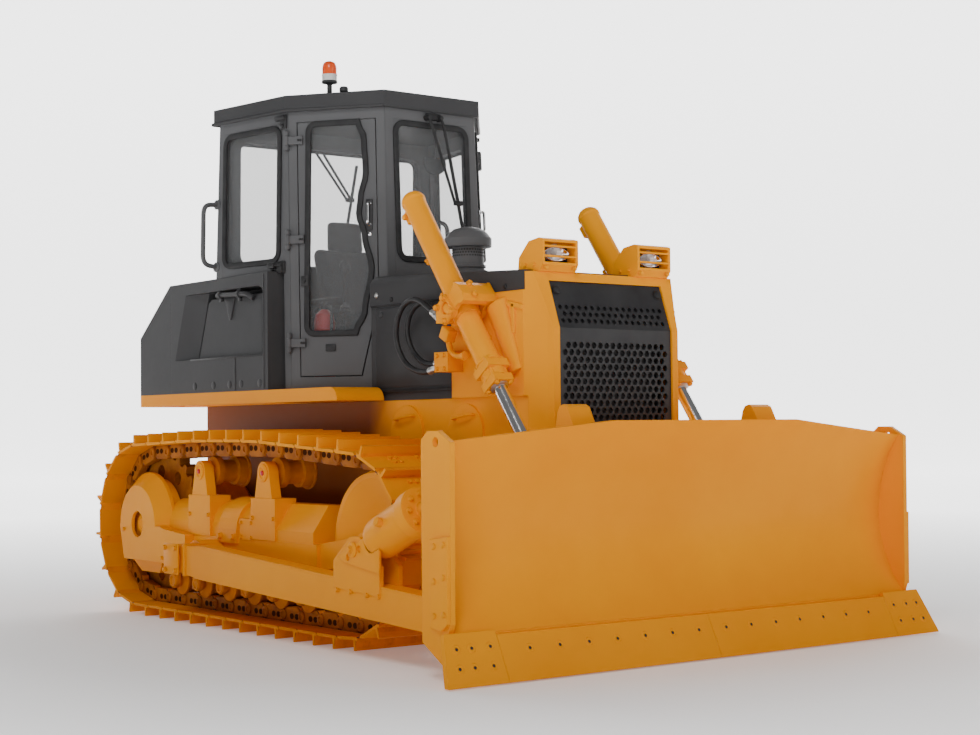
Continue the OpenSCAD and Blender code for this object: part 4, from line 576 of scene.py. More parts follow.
class Wall:
    """A leaning wall: its foot line, its top line and its turn."""

    def __init__(self, p, q, p_top, q_top, turn, lean):
        self.lean = math.atan(lean / (TOP - FLOOR))
        self.height = (TOP - FLOOR) / math.cos(self.lean)
        along = heading(turn)
        self.marks = ((q - p).dot(along), (p_top - p).dot(along), (q_top - p).dot(along))
        self.place = (Matrix.Translation(at(p.x, p.y, FLOOR)) @ Matrix.Rotation(turn, 4, "Z")
                      @ Matrix.Rotation(quarter - self.lean, 4, "X"))

    def left(self, v):
        return self.marks[1] * v / self.height

    def right(self, v):
        return self.marks[0] + (self.marks[2] - self.marks[0]) * v / self.height

    def level(self, z):
        return (z - FLOOR) / math.cos(self.lean)


def flipped(v):
    return Vector((v.x, -v.y))


side_wall = Wall(rear_foot, door_foot, rear_post, door_post, side_turn, 34)
door_wall = Wall(door_foot, front_foot, door_post, front_post, door_turn, 60)
front_wall = Wall(front_foot, flipped(front_foot), front_post, flipped(front_post), quarter, 70)
rear_wall = Wall(flipped(rear_foot), rear_foot, flipped(rear_post), rear_post, -quarter, 25)


def mirror_over(bm):
    """Adds the same shapes on the machine's other side."""
    bmesh.ops.mirror(bm, geom=bm.verts[:] + bm.edges[:] + bm.faces[:], axis="Y", merge_dist=-1)


def flip_side(bm):
    """Turns a right-hand piece into a left-hand one."""
    bmesh.ops.scale(bm, vec=(1, -1, 1), verts=bm.verts)


def window(x0, x1, y0, y1, r, parts=8):
    """A rectangle with round corners, in wall millimetres."""
    spots = [(x1 - r, y1 - r, 0), (x0 + r, y1 - r, 1), (x0 + r, y0 + r, 2), (x1 - r, y0 + r, 3)]
    return [(x + r * math.cos((q + k / parts) * quarter), y + r * math.sin((q + k / parts) * quarter))
            for x, y, q in spots for k in range(parts + 1)]


v0, v1 = front_wall.level(2075), front_wall.level(2868)
front_window = window(front_wall.left(v1) + POST + 12, front_wall.right(v1) - POST - 12, v0, v1, 60)
v0, v1 = side_wall.level(2085), side_wall.level(2868)
rear_leg = 50 / math.cos(side_turn) + 50 * math.tan(side_turn) + 6
side_window = window(side_wall.left(v1) + rear_leg + 8, side_wall.right(v1) - POST - 10, v0, v1, 60)
v0, v1 = rear_wall.level(2110), rear_wall.level(2860)
rear_window = window(rear_wall.left(v0) + POST + 90, rear_wall.right(v0) - POST - 90, v0, v1, 60)

# The door's pane has a waist on its front edge, where the handle stands.
bow = [(0, -50), (0.1, 4), (0.3, 44), (0.46, 0), (0.56, -36), (0.64, -26), (0.75, 4), (0.92, -8), (1, -48)]


def ease(t):
    (a, p), (b, q) = next(pair for pair in zip(bow, bow[1:]) if t <= pair[1][0] + 1e-9)
    return p + (q - p) * (1 - math.cos(math.pi * (t - a) / (b - a))) / 2


PANE_CORNER, BOW_PARTS, CORNER_PARTS = 46, 32, 6
corner_turns = [k * quarter / CORNER_PARTS for k in range(CORNER_PARTS + 1)]
v0, v1 = door_wall.level(1652), door_wall.level(2872)
pane_left, pane_right = door_wall.left(v0) + POST + 44, door_wall.right(v1) - POST - 62
door_window = [(pane_right + ease(k / BOW_PARTS), v0 + (v1 - v0) * k / BOW_PARTS)
               for k in range(BOW_PARTS + 1)]
corner_x, r = pane_left + PANE_CORNER, PANE_CORNER
door_window += [(corner_x - r * math.sin(a), v1 - r + r * math.cos(a)) for a in corner_turns]
door_window += [(corner_x - r * math.cos(a), v0 + r - r * math.sin(a)) for a in corner_turns]
print("windows", len(front_window), len(side_window), len(rear_window), len(door_window))

# %% [markdown]
# Every pane sits in a black rubber gasket that laps over the sheet metal. The pane's outline is made
# one face, inset to leave a band, and the band is extruded and rounded. That keeps an even width even
# round the waist of the door's pane.

# %% Window gaskets
def gasket(bm, wall, corners, lap=0.016, inner=0.018, proud=0.013):
    before = set(bm.verts)
    face = bm.faces.new([bm.verts.new((mm(x), mm(y), 0)) for x, y in corners])
    face.normal_update()
    if face.normal.z < 0:
        face.normal_flip()
    lapped = bmesh.ops.inset_region(bm, faces=[face], thickness=-lap, use_even_offset=True,
                                     use_boundary=True)["faces"]
    bmesh.ops.delete(bm, geom=lapped, context="FACES")
    band = bmesh.ops.inset_region(bm, faces=[face], thickness=lap + inner, use_even_offset=True,
                                   use_boundary=True)["faces"]
    bmesh.ops.delete(bm, geom=[face], context="FACES_ONLY")
    top = bmesh.ops.extrude_face_region(bm, geom=band)["geom"]
    raised = set(points_of(top))
    bmesh.ops.translate(bm, vec=(0, 0, proud), verts=list(raised))
    for f in bm.faces:
        f.normal_update()
    rims = [e for e in {e for v in raised for e in v.link_edges} if set(e.verts) <= raised
            and len(e.link_faces) == 2 and e.calc_face_angle(0) > 0.5]
    bmesh.ops.bevel(bm, geom=rims, offset=proud * 0.45, segments=3, profile=0.5, affect="EDGES",
                    material=-1)
    bmesh.ops.transform(bm, matrix=wall.place, verts=[v for v in bm.verts if v not in before])


bm = bmesh.new()
gasket(bm, front_wall, front_window)
gasket(bm, rear_wall, rear_window)
piece("end_window_gaskets", bm, rubber, "hull")
bm = bmesh.new()
gasket(bm, side_wall, side_window)
mirror_over(bm)
piece("side_window_gaskets", bm, rubber, "hull")
for side in ("right", "left"):
    bm = bmesh.new()
    gasket(bm, door_wall, door_window)
    if side == "left":
        flip_side(bm)
    piece(f"{side}_door_gasket", bm, rubber, f"{side}_door_leaf")

# %% [markdown]
# The doors carry a bright pull handle and a lock on a dark plate, at the waist of the pane. Small bolts
# hold the hinge straps, and a block sits under the pane. All of them are drawn in the door's plane and
# ride with the door.

# %% Door furniture
def on_wall(wall, x, y, z=0.0):
    """A point of a wall in frame metres: millimetres along it, up it and out of it."""
    return wall.place @ Vector((mm(x), mm(y), mm(z)))


def facing(wall):
    return (wall.place.to_3x3() @ Z).normalized()


HINGES = (1600, 2200, 2780)
GRIP_HALF = 60
grip_v = door_wall.level(2335)
grip_x = door_wall.right(grip_v) - POST - GAP - 44
for side in ("right", "left"):
    out = facing(door_wall)
    pull = bmesh.new()
    line = bent([on_wall(door_wall, grip_x, grip_v - GRIP_HALF, 8),
                 on_wall(door_wall, grip_x, grip_v - GRIP_HALF, 34),
                 on_wall(door_wall, grip_x, grip_v + GRIP_HALF, 34),
                 on_wall(door_wall, grip_x, grip_v + GRIP_HALF, 8)], 0.016)
    pipe(pull, line, 0.0085, 14)
    for v in (grip_v - GRIP_HALF, grip_v + GRIP_HALF):
        foot = on_wall(door_wall, grip_x, v, 0)
        turned(pull, [(0, 0), (0.012, 0), (0.012, 0.006), (0.008, 0.010), (0, 0.010)], foot, out, 20)
    lock = on_wall(door_wall, grip_x + 4, grip_v - 118, 0)
    turned(pull, [(0, 0), (0.011, 0), (0.011, 0.006), (0.006, 0.009), (0, 0.009)], lock, out, 20)
    trim = bmesh.new()
    slab(trim, Vector((-0.020, -0.098, 0)), Vector((0.020, 0.084, 0.007)), 0.005,
         door_wall.place @ Matrix.Translation((mm(grip_x), mm(grip_v), 0)))
    for z in HINGES:
        v = door_wall.level(z)
        for u in (72, 86):
            bolt(trim, on_wall(door_wall, door_wall.left(v) + u, v, 21), out, 0.011, 0.007)
    # Block under the pane
    slab(trim, Vector((-0.03, -0.02, 0)), Vector((0.03, 0.02, 0.012)), 0.004,
         door_wall.place @ Matrix.Translation((mm(door_wall.left(480) + 250), mm(236), 0)))
    if side == "left":
        flip_side(pull)
        flip_side(trim)
    piece(f"{side}_door_pull", pull, chrome, f"{side}_door_leaf")
    piece(f"{side}_door_trim", trim, black_iron, f"{side}_door_leaf")

# %% [markdown]
# The windshield and the rear window each have a wiper with two parallel rods that hang from pivots above
# the glass. The rods are pulled tubes, and the blade is a slim bar with a rubber lip under it.

# %% Window wipers
def wiper(bm, wall, pivots, joint, blade_ends):
    """Pivots, joint and blade ends are places across the machine and heights."""
    origin = wall.place.translation
    along_wall = (wall.place.to_3x3() @ Vector((1, 0, 0))).normalized()
    out = facing(wall)
    turn = wall.place.to_3x3().to_4x4()

    def spot(y, z, off):
        return on_wall(wall, (mm(y) - origin.y) / along_wall.y * 1000, wall.level(z), off)

    for k, (y, z) in enumerate(pivots):
        turned(bm, [(0, 0), (0.018, 0), (0.018, 0.026), (0.012, 0.042), (0, 0.044)], spot(y, z, 0), out, 18)
        end = spot(joint[0] + 24 * (k - 1), joint[1] + 12 * k, 30)
        pipe(bm, bent([spot(y, z, 30), spot(y + 6, z - 40, 44), end], 0.02), 0.0085, 10)
    slab(bm, Vector((-0.050, -0.020, 0)), Vector((0.050, 0.020, 0.024)), 0.006,
         Matrix.Translation(spot((pivots[0][0] + pivots[1][0]) / 2, pivots[0][1] + 6, 0)) @ turn)
    (y0, z0), (y1, z1) = blade_ends
    bar = [spot(y0 + (y1 - y0) * k / 6, z0 + (z1 - z0) * k / 6, 26) for k in range(7)]
    pipe(bm, bar, 0.0095, 8)
    pipe(bm, [p - out * 0.012 for p in bar], 0.0045, 6)
    slab(bm, Vector((-0.030, -0.014, -0.010)), Vector((0.030, 0.014, 0.012)), 0.004,
         Matrix.Translation(spot(joint[0], joint[1], 30)) @ turn)


bm = bmesh.new()
wiper(bm, front_wall, [(-31, 2914), (55, 2914)], (160, 2420), [(112, 2700), (196, 2240)])
wiper(bm, rear_wall, [(-80, 2896), (-28, 2896)], (173, 2572), [(220, 2795), (133, 2312)])
piece("window_wipers", bm, rubber, "hull")

# %% [markdown]
# A track chain is a row of forged links, pinned end to end. The solid has the plain rails, so each
# link gets its forged outer face here: a plate that is round at one pin and hollow at the other,
# a raised boss with its pin, and two thin dark ovals of painted shade where the bolt pockets are. The
# pins lie on one path round sprocket, idler and carrier rollers, and the path is worked out from the
# same radii as the solid.

# %% Pin path of the chain
TRACK = 940
PIN_Z, SPROCKET_R, IDLER_R, IDLER_X = 107, 433, 415, 2400
CARRIER_X, CARRIER_Z = (700, 1430), 998
SHOES = 39


def tangent_turn(centre, radius, spot, side):
    """Turn of the point where a line from a spot touches a circle."""
    gap = spot - centre
    return math.atan2(gap.y, gap.x) + side * math.acos(radius / gap.length)


sprocket_hub, idler_hub = Vector((0, PIN_Z + SPROCKET_R)), Vector((IDLER_X, PIN_Z + IDLER_R))
rear_top, front_top = (Vector((x, CARRIER_Z)) for x in CARRIER_X)
leave_idler = tangent_turn(idler_hub, IDLER_R, front_top, -1)
reach_sprocket = tangent_turn(sprocket_hub, SPROCKET_R, rear_top, 1)
arc = [idler_hub + heading(-quarter + (leave_idler + quarter) * k / 90) * IDLER_R for k in range(91)]
arc += [front_top, rear_top]
arc += [sprocket_hub + heading(reach_sprocket + (1.5 * math.pi - reach_sprocket) * k / 90) * SPROCKET_R
        for k in range(91)]
chain_line = [Vector((0, PIN_Z)), *arc]


def along(line, length):
    """The point a given length along a line of points."""
    for a, b in zip(line, line[1:]):
        gap = (b - a).length
        if length <= gap:
            return a + (b - a) * (length / gap if gap else 0)
        length -= gap
    return line[-1]


loop = sum((b - a).length for a, b in zip(chain_line, chain_line[1:]))
pitch_of_chain = loop / SHOES
pins = [along(chain_line, i * pitch_of_chain) for i in range(SHOES)]
print("chain pitch", round(pitch_of_chain, 2))


def link_place(i, y, outwards):
    """Link axes: x along the link, y towards the shoe, z out of its outer face."""
    p, q = pins[i], pins[(i + 1) % SHOES]
    run = (q - p).normalized()
    ahead = Vector((run.x, 0, run.y))
    shoe = Vector((run.y, 0, -run.x))
    out = Vector((0, outwards, 0))
    turn = Matrix((ahead, shoe, out)).transposed().to_4x4()
    return Matrix.Translation(at(p.x, y, p.y)) @ turn


# %% Forged chain links
def link_outline(length):
    """Round at the first pin, hollow at the second."""
    round_end = [(34 * math.cos(a), 34 * math.sin(a))
                 for a in (math.pi * (0.55 + 0.9 * k / 10) for k in range(11))]
    hollow = [(length - 39 * math.cos(a), 39 * math.sin(a))
              for a in (math.pi * (-0.23 + 0.46 * k / 6) for k in range(7))]
    corners = [*round_end, (20, -44), (length - 52, -44), *hollow, (length - 40, 37), (14, 37)]
    return [(mm(x), mm(y)) for x, y in corners]


links = bmesh.new()
bosses = bmesh.new()
pocket_shades = bmesh.new()
RAIL = 0.0485
for side in (-1, 1):
    for face, proud in ((102, 1), (-102, -1)):
        y = side * TRACK + face
        for i in range(SHOES):
            place = link_place(i, y, proud)
            body = place @ Matrix.Translation((0, 0, 0.0045 - RAIL))
            outline_plate(links, link_outline(pitch_of_chain), RAIL, body, 0.004)
            turned(bosses, [(0, 0.003), (0.031, 0.003), (0.031, 0.012), (0.024, 0.016), (0.017, 0.016),
                            (0.013, 0.010), (0, 0.010)], place.translation, Vector((0, proud, 0)), 14)
            # Two thin dark ovals per link are painted shade where the bolt pockets sit.
            oval = [(0.021 * math.cos(a), 0.016 * math.sin(a))
                    for a in (math.tau * k / 12 for k in range(12))]
            for share in (0.44, 0.70):
                pocket = place @ Matrix.Translation((mm(pitch_of_chain * share), mm(4), 0.0040))
                outline_plate(pocket_shades, oval, 0.0008, pocket)
piece("chain_links", links, chain_brown, "hull")
piece("chain_pins", bosses, chain_brown, "hull")
piece("chain_pocket_shades", pocket_shades, pocket_shade_paint, "hull")

# %% [markdown]
# Every link carries its own shoe, a rolled plate with one tall bar. Its front edge dips under the next
# shoe's lifted rear edge, so the row of shoes shows as steps, with gaps darkened by painted shade on the
# track's band below. The outline is drawn once, along the link and away from the chain, and pulled
# across the track.

# %% Track shoes
SHOE_HALF = 0.2525
shoe_line = [(0.015, 38), (0.015, 47), (0.10, 53.5), (0.775, 53.5), (0.79, 107), (0.862, 107),
             (0.882, 53.5), (0.93, 57.5), (0.985, 57.5), (0.985, 45), (0.90, 37.5)]
bm = bmesh.new()
for side in (-1, 1):
    for i in range(SHOES):
        place = link_place(i, side * TRACK, 1) @ Matrix.Translation((0, 0, -SHOE_HALF))
        outline_plate(bm, [(mm(pitch_of_chain * u), mm(h)) for u, h in shoe_line], 2 * SHOE_HALF, place,
                      0.0015)
piece("track_shoes", bm, track_yellow, "hull", 25)

# %% [markdown]
# Eight bolts hold each shoe to its two links. Their heads stand on the shoe's outer face behind the
# grouser bar. A shape that repeats over six hundred times stays at a few faces, so a head is a plain
# six-sided cone frustum without a washer.

# %% Shoe bolts
bm = bmesh.new()
for side in (-1, 1):
    for i in range(SHOES):
        for y in (-100, -62, 62, 100):
            place = link_place(i, side * TRACK + y, 1)
            for share in (0.36, 0.62):
                foot = place @ Vector((mm(pitch_of_chain * share), 0.052, 0))
                bolt(bm, foot, (place.to_3x3() @ Y).normalized(), 0.024, 0.013, washer=False)
piece("shoe_bolts", bm, track_yellow, "hull")

# %% [markdown]
# Bolted covers close the ends of the track rollers and carrier rollers. A lathe outline gives each its
# ring, face and hub in one spin, and hexagon heads sit on the ring. Red plugs close the oil holes.

# %% Roller ends and plugs
ROLLERS = [375 + 286 * k for k in range(6)]
ends = bmesh.new()
caps = bmesh.new()
plugs = bmesh.new()
for side in (-1, 1):
    out = Vector((0, side, 0))
    for x in ROLLERS:
        foot = at(x, side * (TRACK + 172), 221)
        turned(ends, [(0, 0), (0.044, 0), (0.044, 0.004), (0.036, 0.012), (0.026, 0.012),
                      (0.022, 0.007), (0, 0.007)], foot, out, 24)
        for k in range(4):
            a = math.tau * (k + 0.5) / 4
            bolt(ends, foot + Vector((mm(37) * math.cos(a), 0, mm(37) * math.sin(a))) + out * 0.004,
                 out, 0.012, 0.008)
    for x in CARRIER_X:
        foot = at(x, side * 1112, 868)
        turned(caps, [(0, 0), (0.050, 0), (0.050, 0.005), (0.040, 0.010), (0.030, 0.010),
                      (0.026, 0.004), (0, 0.004)], foot, out, 24)
        turned(plugs, [(0, 0.003), (0.014, 0.003), (0.014, 0.010), (0.006, 0.014), (0, 0.014)], foot,
               out, 12)
        for dx in (-112, 112):
            bolt(caps, at(x + dx, side * 1116, 622), out, 0.020, 0.013)
piece("roller_ends", ends, roller_paint, "hull")
piece("carrier_caps", caps, yellow, "hull")
piece("lube_plugs", plugs, red_paint, "hull")

# %% [markdown]
# The final drive's cover is bolted on, and the track frame carries a strap over the recoil spring,
# a lid and folded plates. Their bolts are what tells a cast cover from a painted block. The push arm's
# bearing gets a square cap.

# %% Track frame fasteners
ARM_X, ARM_Z = 907, 391
bm = bmesh.new()
for side in (-1, 1):
    out = Vector((0, side, 0))
    for x, z in ((330, 352), (520, 352), (-180, 505)):
        bolt(bm, at(x, side * 1166, z), out, 0.020, 0.013)
    for x in (975, 1125):
        bolt(bm, at(x, side * 1126, 510), out, 0.030, 0.020)
    for x in (1190, 1300):
        for z in (512, 592):
            bolt(bm, at(x, side * 1114, z), out, 0.018, 0.011)
    # Cap over the axle in the drum's eye
    turned(bm, [(0, 0), (0.062, 0), (0.062, 0.010), (0.050, 0.018), (0.030, 0.020), (0.026, 0.014),
                (0, 0.014)], at(0, side * 1121, 540), out, 28)
    # Square bearing cap on the push arm's trunnion
    slab(bm, Vector((-0.085, -0.005, -0.085)), Vector((0.085, 0.006, 0.085)), 0.004,
         Matrix.Translation(at(ARM_X, side * 1399, ARM_Z)))
    for dx in (-62, 62):
        for dz in (-62, 62):
            bolt(bm, at(ARM_X + dx, side * 1405, ARM_Z + dz), out, 0.024, 0.015)
piece("track_frame_bolts", bm, yellow, "hull")

# %% [markdown]
# A lift cylinder is a smooth tube between two forged ends. Its own axis runs from the swivel down to the
# rod's eye, so its fittings are drawn along local z and carried over by one matrix. The barrel and the
# rod move apart, and each fitting rides on the one that it is screwed to.

# %% Lift cylinder fittings
SLOPE = math.radians(53.7)
SWIVEL_X, SWIVEL_Y, SWIVEL_Z = 2600, 610, 1708


def cylinder_place(side):
    z_axis = Vector((math.cos(SLOPE), 0, -math.sin(SLOPE)))
    turn = Matrix((Y.cross(z_axis), Y, z_axis)).transposed().to_4x4()
    return Matrix.Translation(at(SWIVEL_X, side * SWIVEL_Y, SWIVEL_Z)) @ turn


for name, side in (("right", -1), ("left", 1)):
    place = cylinder_place(side)
    axis = (place.to_3x3() @ Z).normalized()

    def on_tube(x, y, z):
        return place @ Vector((mm(x), mm(y), mm(z)))

    bm = bmesh.new()
    # Domed end with a weld ring, and a port block on the back
    turned(bm, [(0.0625, 0.030), (0.066, 0.024), (0.066, 0.012), (0.0625, 0.006), (0.060, -0.004),
                (0.046, -0.020), (0.024, -0.029), (0, -0.031)], on_tube(0, 0, -757), axis, 32)
    turned(bm, [(0.0625, -0.004), (0.067, 0), (0.067, 0.012), (0.0625, 0.016)], on_tube(0, 0, 345),
           axis, 32)
    slab(bm, Vector((0.050, -0.026, -0.725)), Vector((0.088, 0.026, -0.650)), 0.006, place)
    rod(bm, on_tube(70, side * 20, -688), on_tube(70, side * 48, -688), 0.016, sides=6)
    for z in (-400, -170):
        slab(bm, Vector((0.044, -0.024, mm(z))), Vector((0.086, 0.024, mm(z + 34))), 0.005, place)
        bolt(bm, on_tube(70, side * 24, z + 17), Vector((0, side, 0)), 0.016, 0.011)
    # Square glands: heads above and below, long studs between
    for x in (-48, 48):
        for y in (-48, 48):
            bolt(bm, on_tube(x, y, 369), -axis, 0.026, 0.017)
            rod(bm, on_tube(x * 0.88, y * 0.88, 410), on_tube(x * 0.88, y * 0.88, 458), 0.009, sides=12)
            turned(bm, [(0, 0), (0.014, 0), (0.014, 0.008), (0.009, 0.014), (0, 0.015)],
                   on_tube(x * 0.88, y * 0.88, 499), axis, 12)
    # Lower oil pipe and its elbow to the gland
    route = bent([on_tube(66, side * -14, 30), on_tube(82, side * -14, 60), on_tube(82, side * -14, 330),
                  on_tube(64, side * -14, 372)], 0.03)
    pipe(bm, route, 0.012, 12)
    piece(f"{name}_barrel_fittings", bm, yellow, f"{name}_barrel")
    bm = bmesh.new()
    turned(bm, [(0.0345, 0), (0.050, 0), (0.050, 0.006), (0.043, 0.012), (0.0345, 0.013)],
           on_tube(0, 0, 499), axis, 32)
    piece(f"{name}_rod_wiper", bm, zinc, f"{name}_barrel")
    bm = bmesh.new()
    turned(bm, [(0.0343, 0), (0.052, 0.004), (0.060, 0.016), (0.060, 0.066), (0.050, 0.082),
                (0.0343, 0.086)], on_tube(0, 0, 1166), axis, 32)
    piece(f"{name}_rod_collar", bm, yellow, f"{name}_rod")

# %% [markdown]
# The yoke that carries a cylinder is a casting with bolted bearing caps. Under it the hose block is
# forged, with swaged steel ferrules on the hose ends. Bright zinc marks every hydraulic joint.

# %% Yoke bolts, hose ends and pipes
bm = bmesh.new()
ferrules = bmesh.new()
lean = math.radians(40)
ARCH = 146
for side in (-1, 1):
    out = Vector((0, side, 0))
    for u, v in ((-46, -46), (-46, 46), (26, -46), (26, 46)):
        x = SWIVEL_X + u * math.cos(lean) - v * math.sin(lean)
        z = SWIVEL_Z + u * math.sin(lean) + v * math.cos(lean)
        bolt(bm, at(x, side * 726, z), out, 0.028, 0.020)
    turned(bm, [(0, 0), (0.027, 0), (0.027, 0.005), (0.020, 0.012), (0, 0.013)],
           at(SWIVEL_X, side * 712, SWIVEL_Z), out, 24)
    # Bolts on the arch and on the foot
    for u in (-36, 36):
        x = SWIVEL_X + ARCH * math.cos(lean) - u * math.sin(lean)
        z = SWIVEL_Z + ARCH * math.sin(lean) + u * math.cos(lean)
        bolt(bm, at(x, side * 640, z), Vector((math.cos(lean), 0, math.sin(lean))), 0.026, 0.018)
    for x, z in ((2690, 1560), (2770, 1420), (2846, 1382)):
        bolt(bm, at(x, side * 494, z), out, 0.026, 0.018)
    # Small manifold between the hose block and the cylinder, with its bent pipe
    slab(bm, Vector((-0.036, -0.03, -0.034)), Vector((0.036, 0.03, 0.034)), 0.007,
         Matrix.Translation(at(2398, side * 562, 1590)) @ Matrix.Rotation(math.radians(28), 4, "Y"))
    route = bent([at(2398, side * 562, 1566), at(2420, side * 566, 1500), at(2500, side * 580, 1468),
                  at(2584, side * 592, 1470)], 0.045)
    pipe(bm, route, 0.015, 12)
    rod(bm, at(2566, side * 590, 1470), at(2592, side * 594, 1470), 0.024, sides=6)
    for x, z in ((2340, 1412), (2400, 1412), (2340, 1480), (2400, 1480)):
        bolt(bm, at(x, side * 590, z), out, 0.018, 0.012)
    for route in (inner_route, outer_route):
        for i, k in ((0, 1), (-1, -2)):
            a = at(route[i][0], side * route[i][1], route[i][2])
            b = at(route[k][0], side * route[k][1], route[k][2])
            along_hose = (b - a).normalized()
            rod(ferrules, a - along_hose * 0.004, a + along_hose * 0.020, 0.022, sides=6, edge=0.002)
            turned(ferrules, [(0.0152, 0), (0.020, 0.002), (0.0205, 0.020), (0.019, 0.022),
                              (0.0205, 0.025), (0.020, 0.050), (0.0155, 0.056)], a + along_hose * 0.018,
                   along_hose, 20)
piece("yoke_fasteners", bm, yellow, "hull")
piece("hose_ferrules", ferrules, zinc, "hull")

# %% [markdown]
# Along the engine bay the hull carries small lift handles, and the dark side door over the engine lies
# between rubber strips. A folded step on the guard's side helps the driver up.

# %% Hull side details
STRIPS = [(1545, 2322, 462, 484, 1300, 1318, 0.004), (1545, 2322, 466, 482, 1782, 1792, 0.003),
          (2300, 2316, 466, 480, 1318, 1782, 0.003)]
bm = bmesh.new()
strips = bmesh.new()
doors = bmesh.new()
for side in (-1, 1):
    out = Vector((0, side, 0))
    for x in (1900, 2440):
        grip = bent([at(x - 80, side * 489, 1150), at(x - 80, side * 520, 1152),
                     at(x + 80, side * 520, 1172), at(x + 80, side * 489, 1170)], 0.018)
        pipe(bm, grip, 0.008, 10)
    # T-shaped step on the guard
    slab(bm, Vector((-0.012, -0.006, -0.075)), Vector((0.012, 0.018, 0.075)), 0.004,
         Matrix.Translation(at(2868, side * 498, 1650)))
    slab(bm, Vector((-0.066, -0.006, -0.014)), Vector((0.066, 0.040, 0.014)), 0.005,
         Matrix.Translation(at(2880, side * 498, 1716)) @ Matrix.Rotation(math.radians(12), 4, "Y"))
    # Smooth door over the engine, with its quarter-turn latches
    inner, outer = sorted((side * 467, side * 474))
    slab(doors, at(1585, inner, 1330), at(2296, outer, 1772), 0.003)
    for x in (1640, 1940, 2240):
        turned(doors, [(0, 0), (0.018, 0), (0.018, 0.003), (0.010, 0.008), (0, 0.009)],
               at(x, side * 474, 1738), out, 20)
    for x0, x1, deep, proud, z0, z1, edge in STRIPS:
        y0, y1 = sorted((side * deep, side * proud))
        slab(strips, at(x0, y0, z0), at(x1, y1, z1), edge)
piece("hull_covers", bm, yellow, "hull")
piece("engine_doors", doors, charcoal, "hull")
piece("hood_seals", strips, rubber, "hull")

# %% [markdown]
# The hood is held by bright screws, and the headlamps look out of folded boxes: a wide mirror bowl with
# a capped bulb behind each lens, and bolts through the foot. Rubber buffers sit in the grille's corners.
# The air stack gets a domed cap over a band of small holes.

# %% Lamps, buffers and air stack
LAMP_Y, HOOD_SIDE = 317, 478
bm = bmesh.new()
bowls = bmesh.new()
black = bmesh.new()
gold = bmesh.new()
for side in (-1, 1):
    ahead = Vector((1, 0, 0))
    centre = at(2957, side * LAMP_Y, 1977)
    # One wide bowl, turned round and then stretched across, with a bulb in a cap before it
    before = set(bowls.verts)
    turned(bowls, [(0.008, -0.002), (0.016, 0.002), (0.026, 0.014), (0.032, 0.030), (0.034, 0.032),
                   (0.036, 0.028), (0.030, 0.010), (0.016, -0.004)], ahead * 0.006, ahead, 32)
    bowl = [v for v in bowls.verts if v not in before]
    bmesh.ops.scale(bowls, vec=(1, 2.35, 1), verts=bowl)
    bmesh.ops.translate(bowls, vec=centre + Vector((0, 0, -0.006)), verts=bowl)
    turned(black, [(0, 0.028), (0.010, 0.026), (0.013, 0.018), (0.013, 0.004), (0, 0.004)],
           centre + ahead * 0.004, ahead, 20)
    slab(black, Vector((-0.004, -0.099, -0.045)), Vector((0.002, 0.099, 0.045)), 0.002,
         Matrix.Translation(centre))
    for dy in (-92, 92):
        bolt(bm, at(3022, side * LAMP_Y + dy, 1898), ahead, 0.020, 0.012)
    for dy in (-1, 1):
        for x, z in ((2890, 1916), (2960, 1916)):
            bolt(bm, at(x, side * LAMP_Y + dy * 116, z), Vector((0, dy, 0)), 0.016, 0.010)
    # Round buffers in the top corners of the grille frame
    rake = Vector((math.cos(0.337), 0, math.sin(0.337)))
    turned(black, [(0, 0), (0.022, 0), (0.024, 0.006), (0.020, 0.016), (0.010, 0.020), (0, 0.020)],
           at(3012, side * 340, 1786), rake, 24)
    turned(gold, [(0, 0), (0.016, 0), (0.016, 0.004), (0.010, 0.010), (0, 0.011)],
           at(1600, side * HOOD_SIDE, 1848), Vector((0, side, 0)), 20)
    for x in (1750, 2250, 2780):
        turned(black, [(0, 0), (0.014, 0), (0.014, 0.004), (0.008, 0.009), (0, 0.009)],
               at(x, side * HOOD_SIDE, 1816), Vector((0, side, 0)), 16)
# Wide domed cap of the air stack, with a perforated band under it
stack = at(2010, -140, 0)
cap = bmesh.new()
turned(cap, [(0.088, 2.098), (0.128, 2.100), (0.131, 2.106), (0.131, 2.148), (0.124, 2.156),
             (0.108, 2.178), (0.080, 2.200), (0.040, 2.211), (0, 2.213)], stack, Z, 48)
turned(cap, [(0.0885, 1.985), (0.098, 1.986), (0.098, 2.000), (0.0885, 2.002)], stack, Z, 48)
for k in range(36):
    for j in range(3):
        a = math.tau * (k + 0.5 * (j % 2)) / 36
        reach = Vector((math.cos(a), math.sin(a), 0))
        rod(black, stack + reach * 0.0878 + Z * (2.052 + 0.016 * j),
            stack + reach * 0.0892 + Z * (2.052 + 0.016 * j), 0.0050, sides=8)
piece("lamp_bolts", bm, yellow, "hull")
piece("lamp_bowls", bowls, reflector, "hull")
piece("lamp_backs_and_buffers", black, rubber, "hull")
piece("hood_screws", gold, zinc, "hull")
piece("air_stack_cap", cap, cab_grey, "hull")

# %% [markdown]
# Plow bolts hold the cutting edges. Their heads are flush with the steel, so only a ring and a square
# show. A shallow lathe outline with a dimple gives that mark, placed along the slope of the edge, and a
# dark iron disc in the dimple is painted shade.

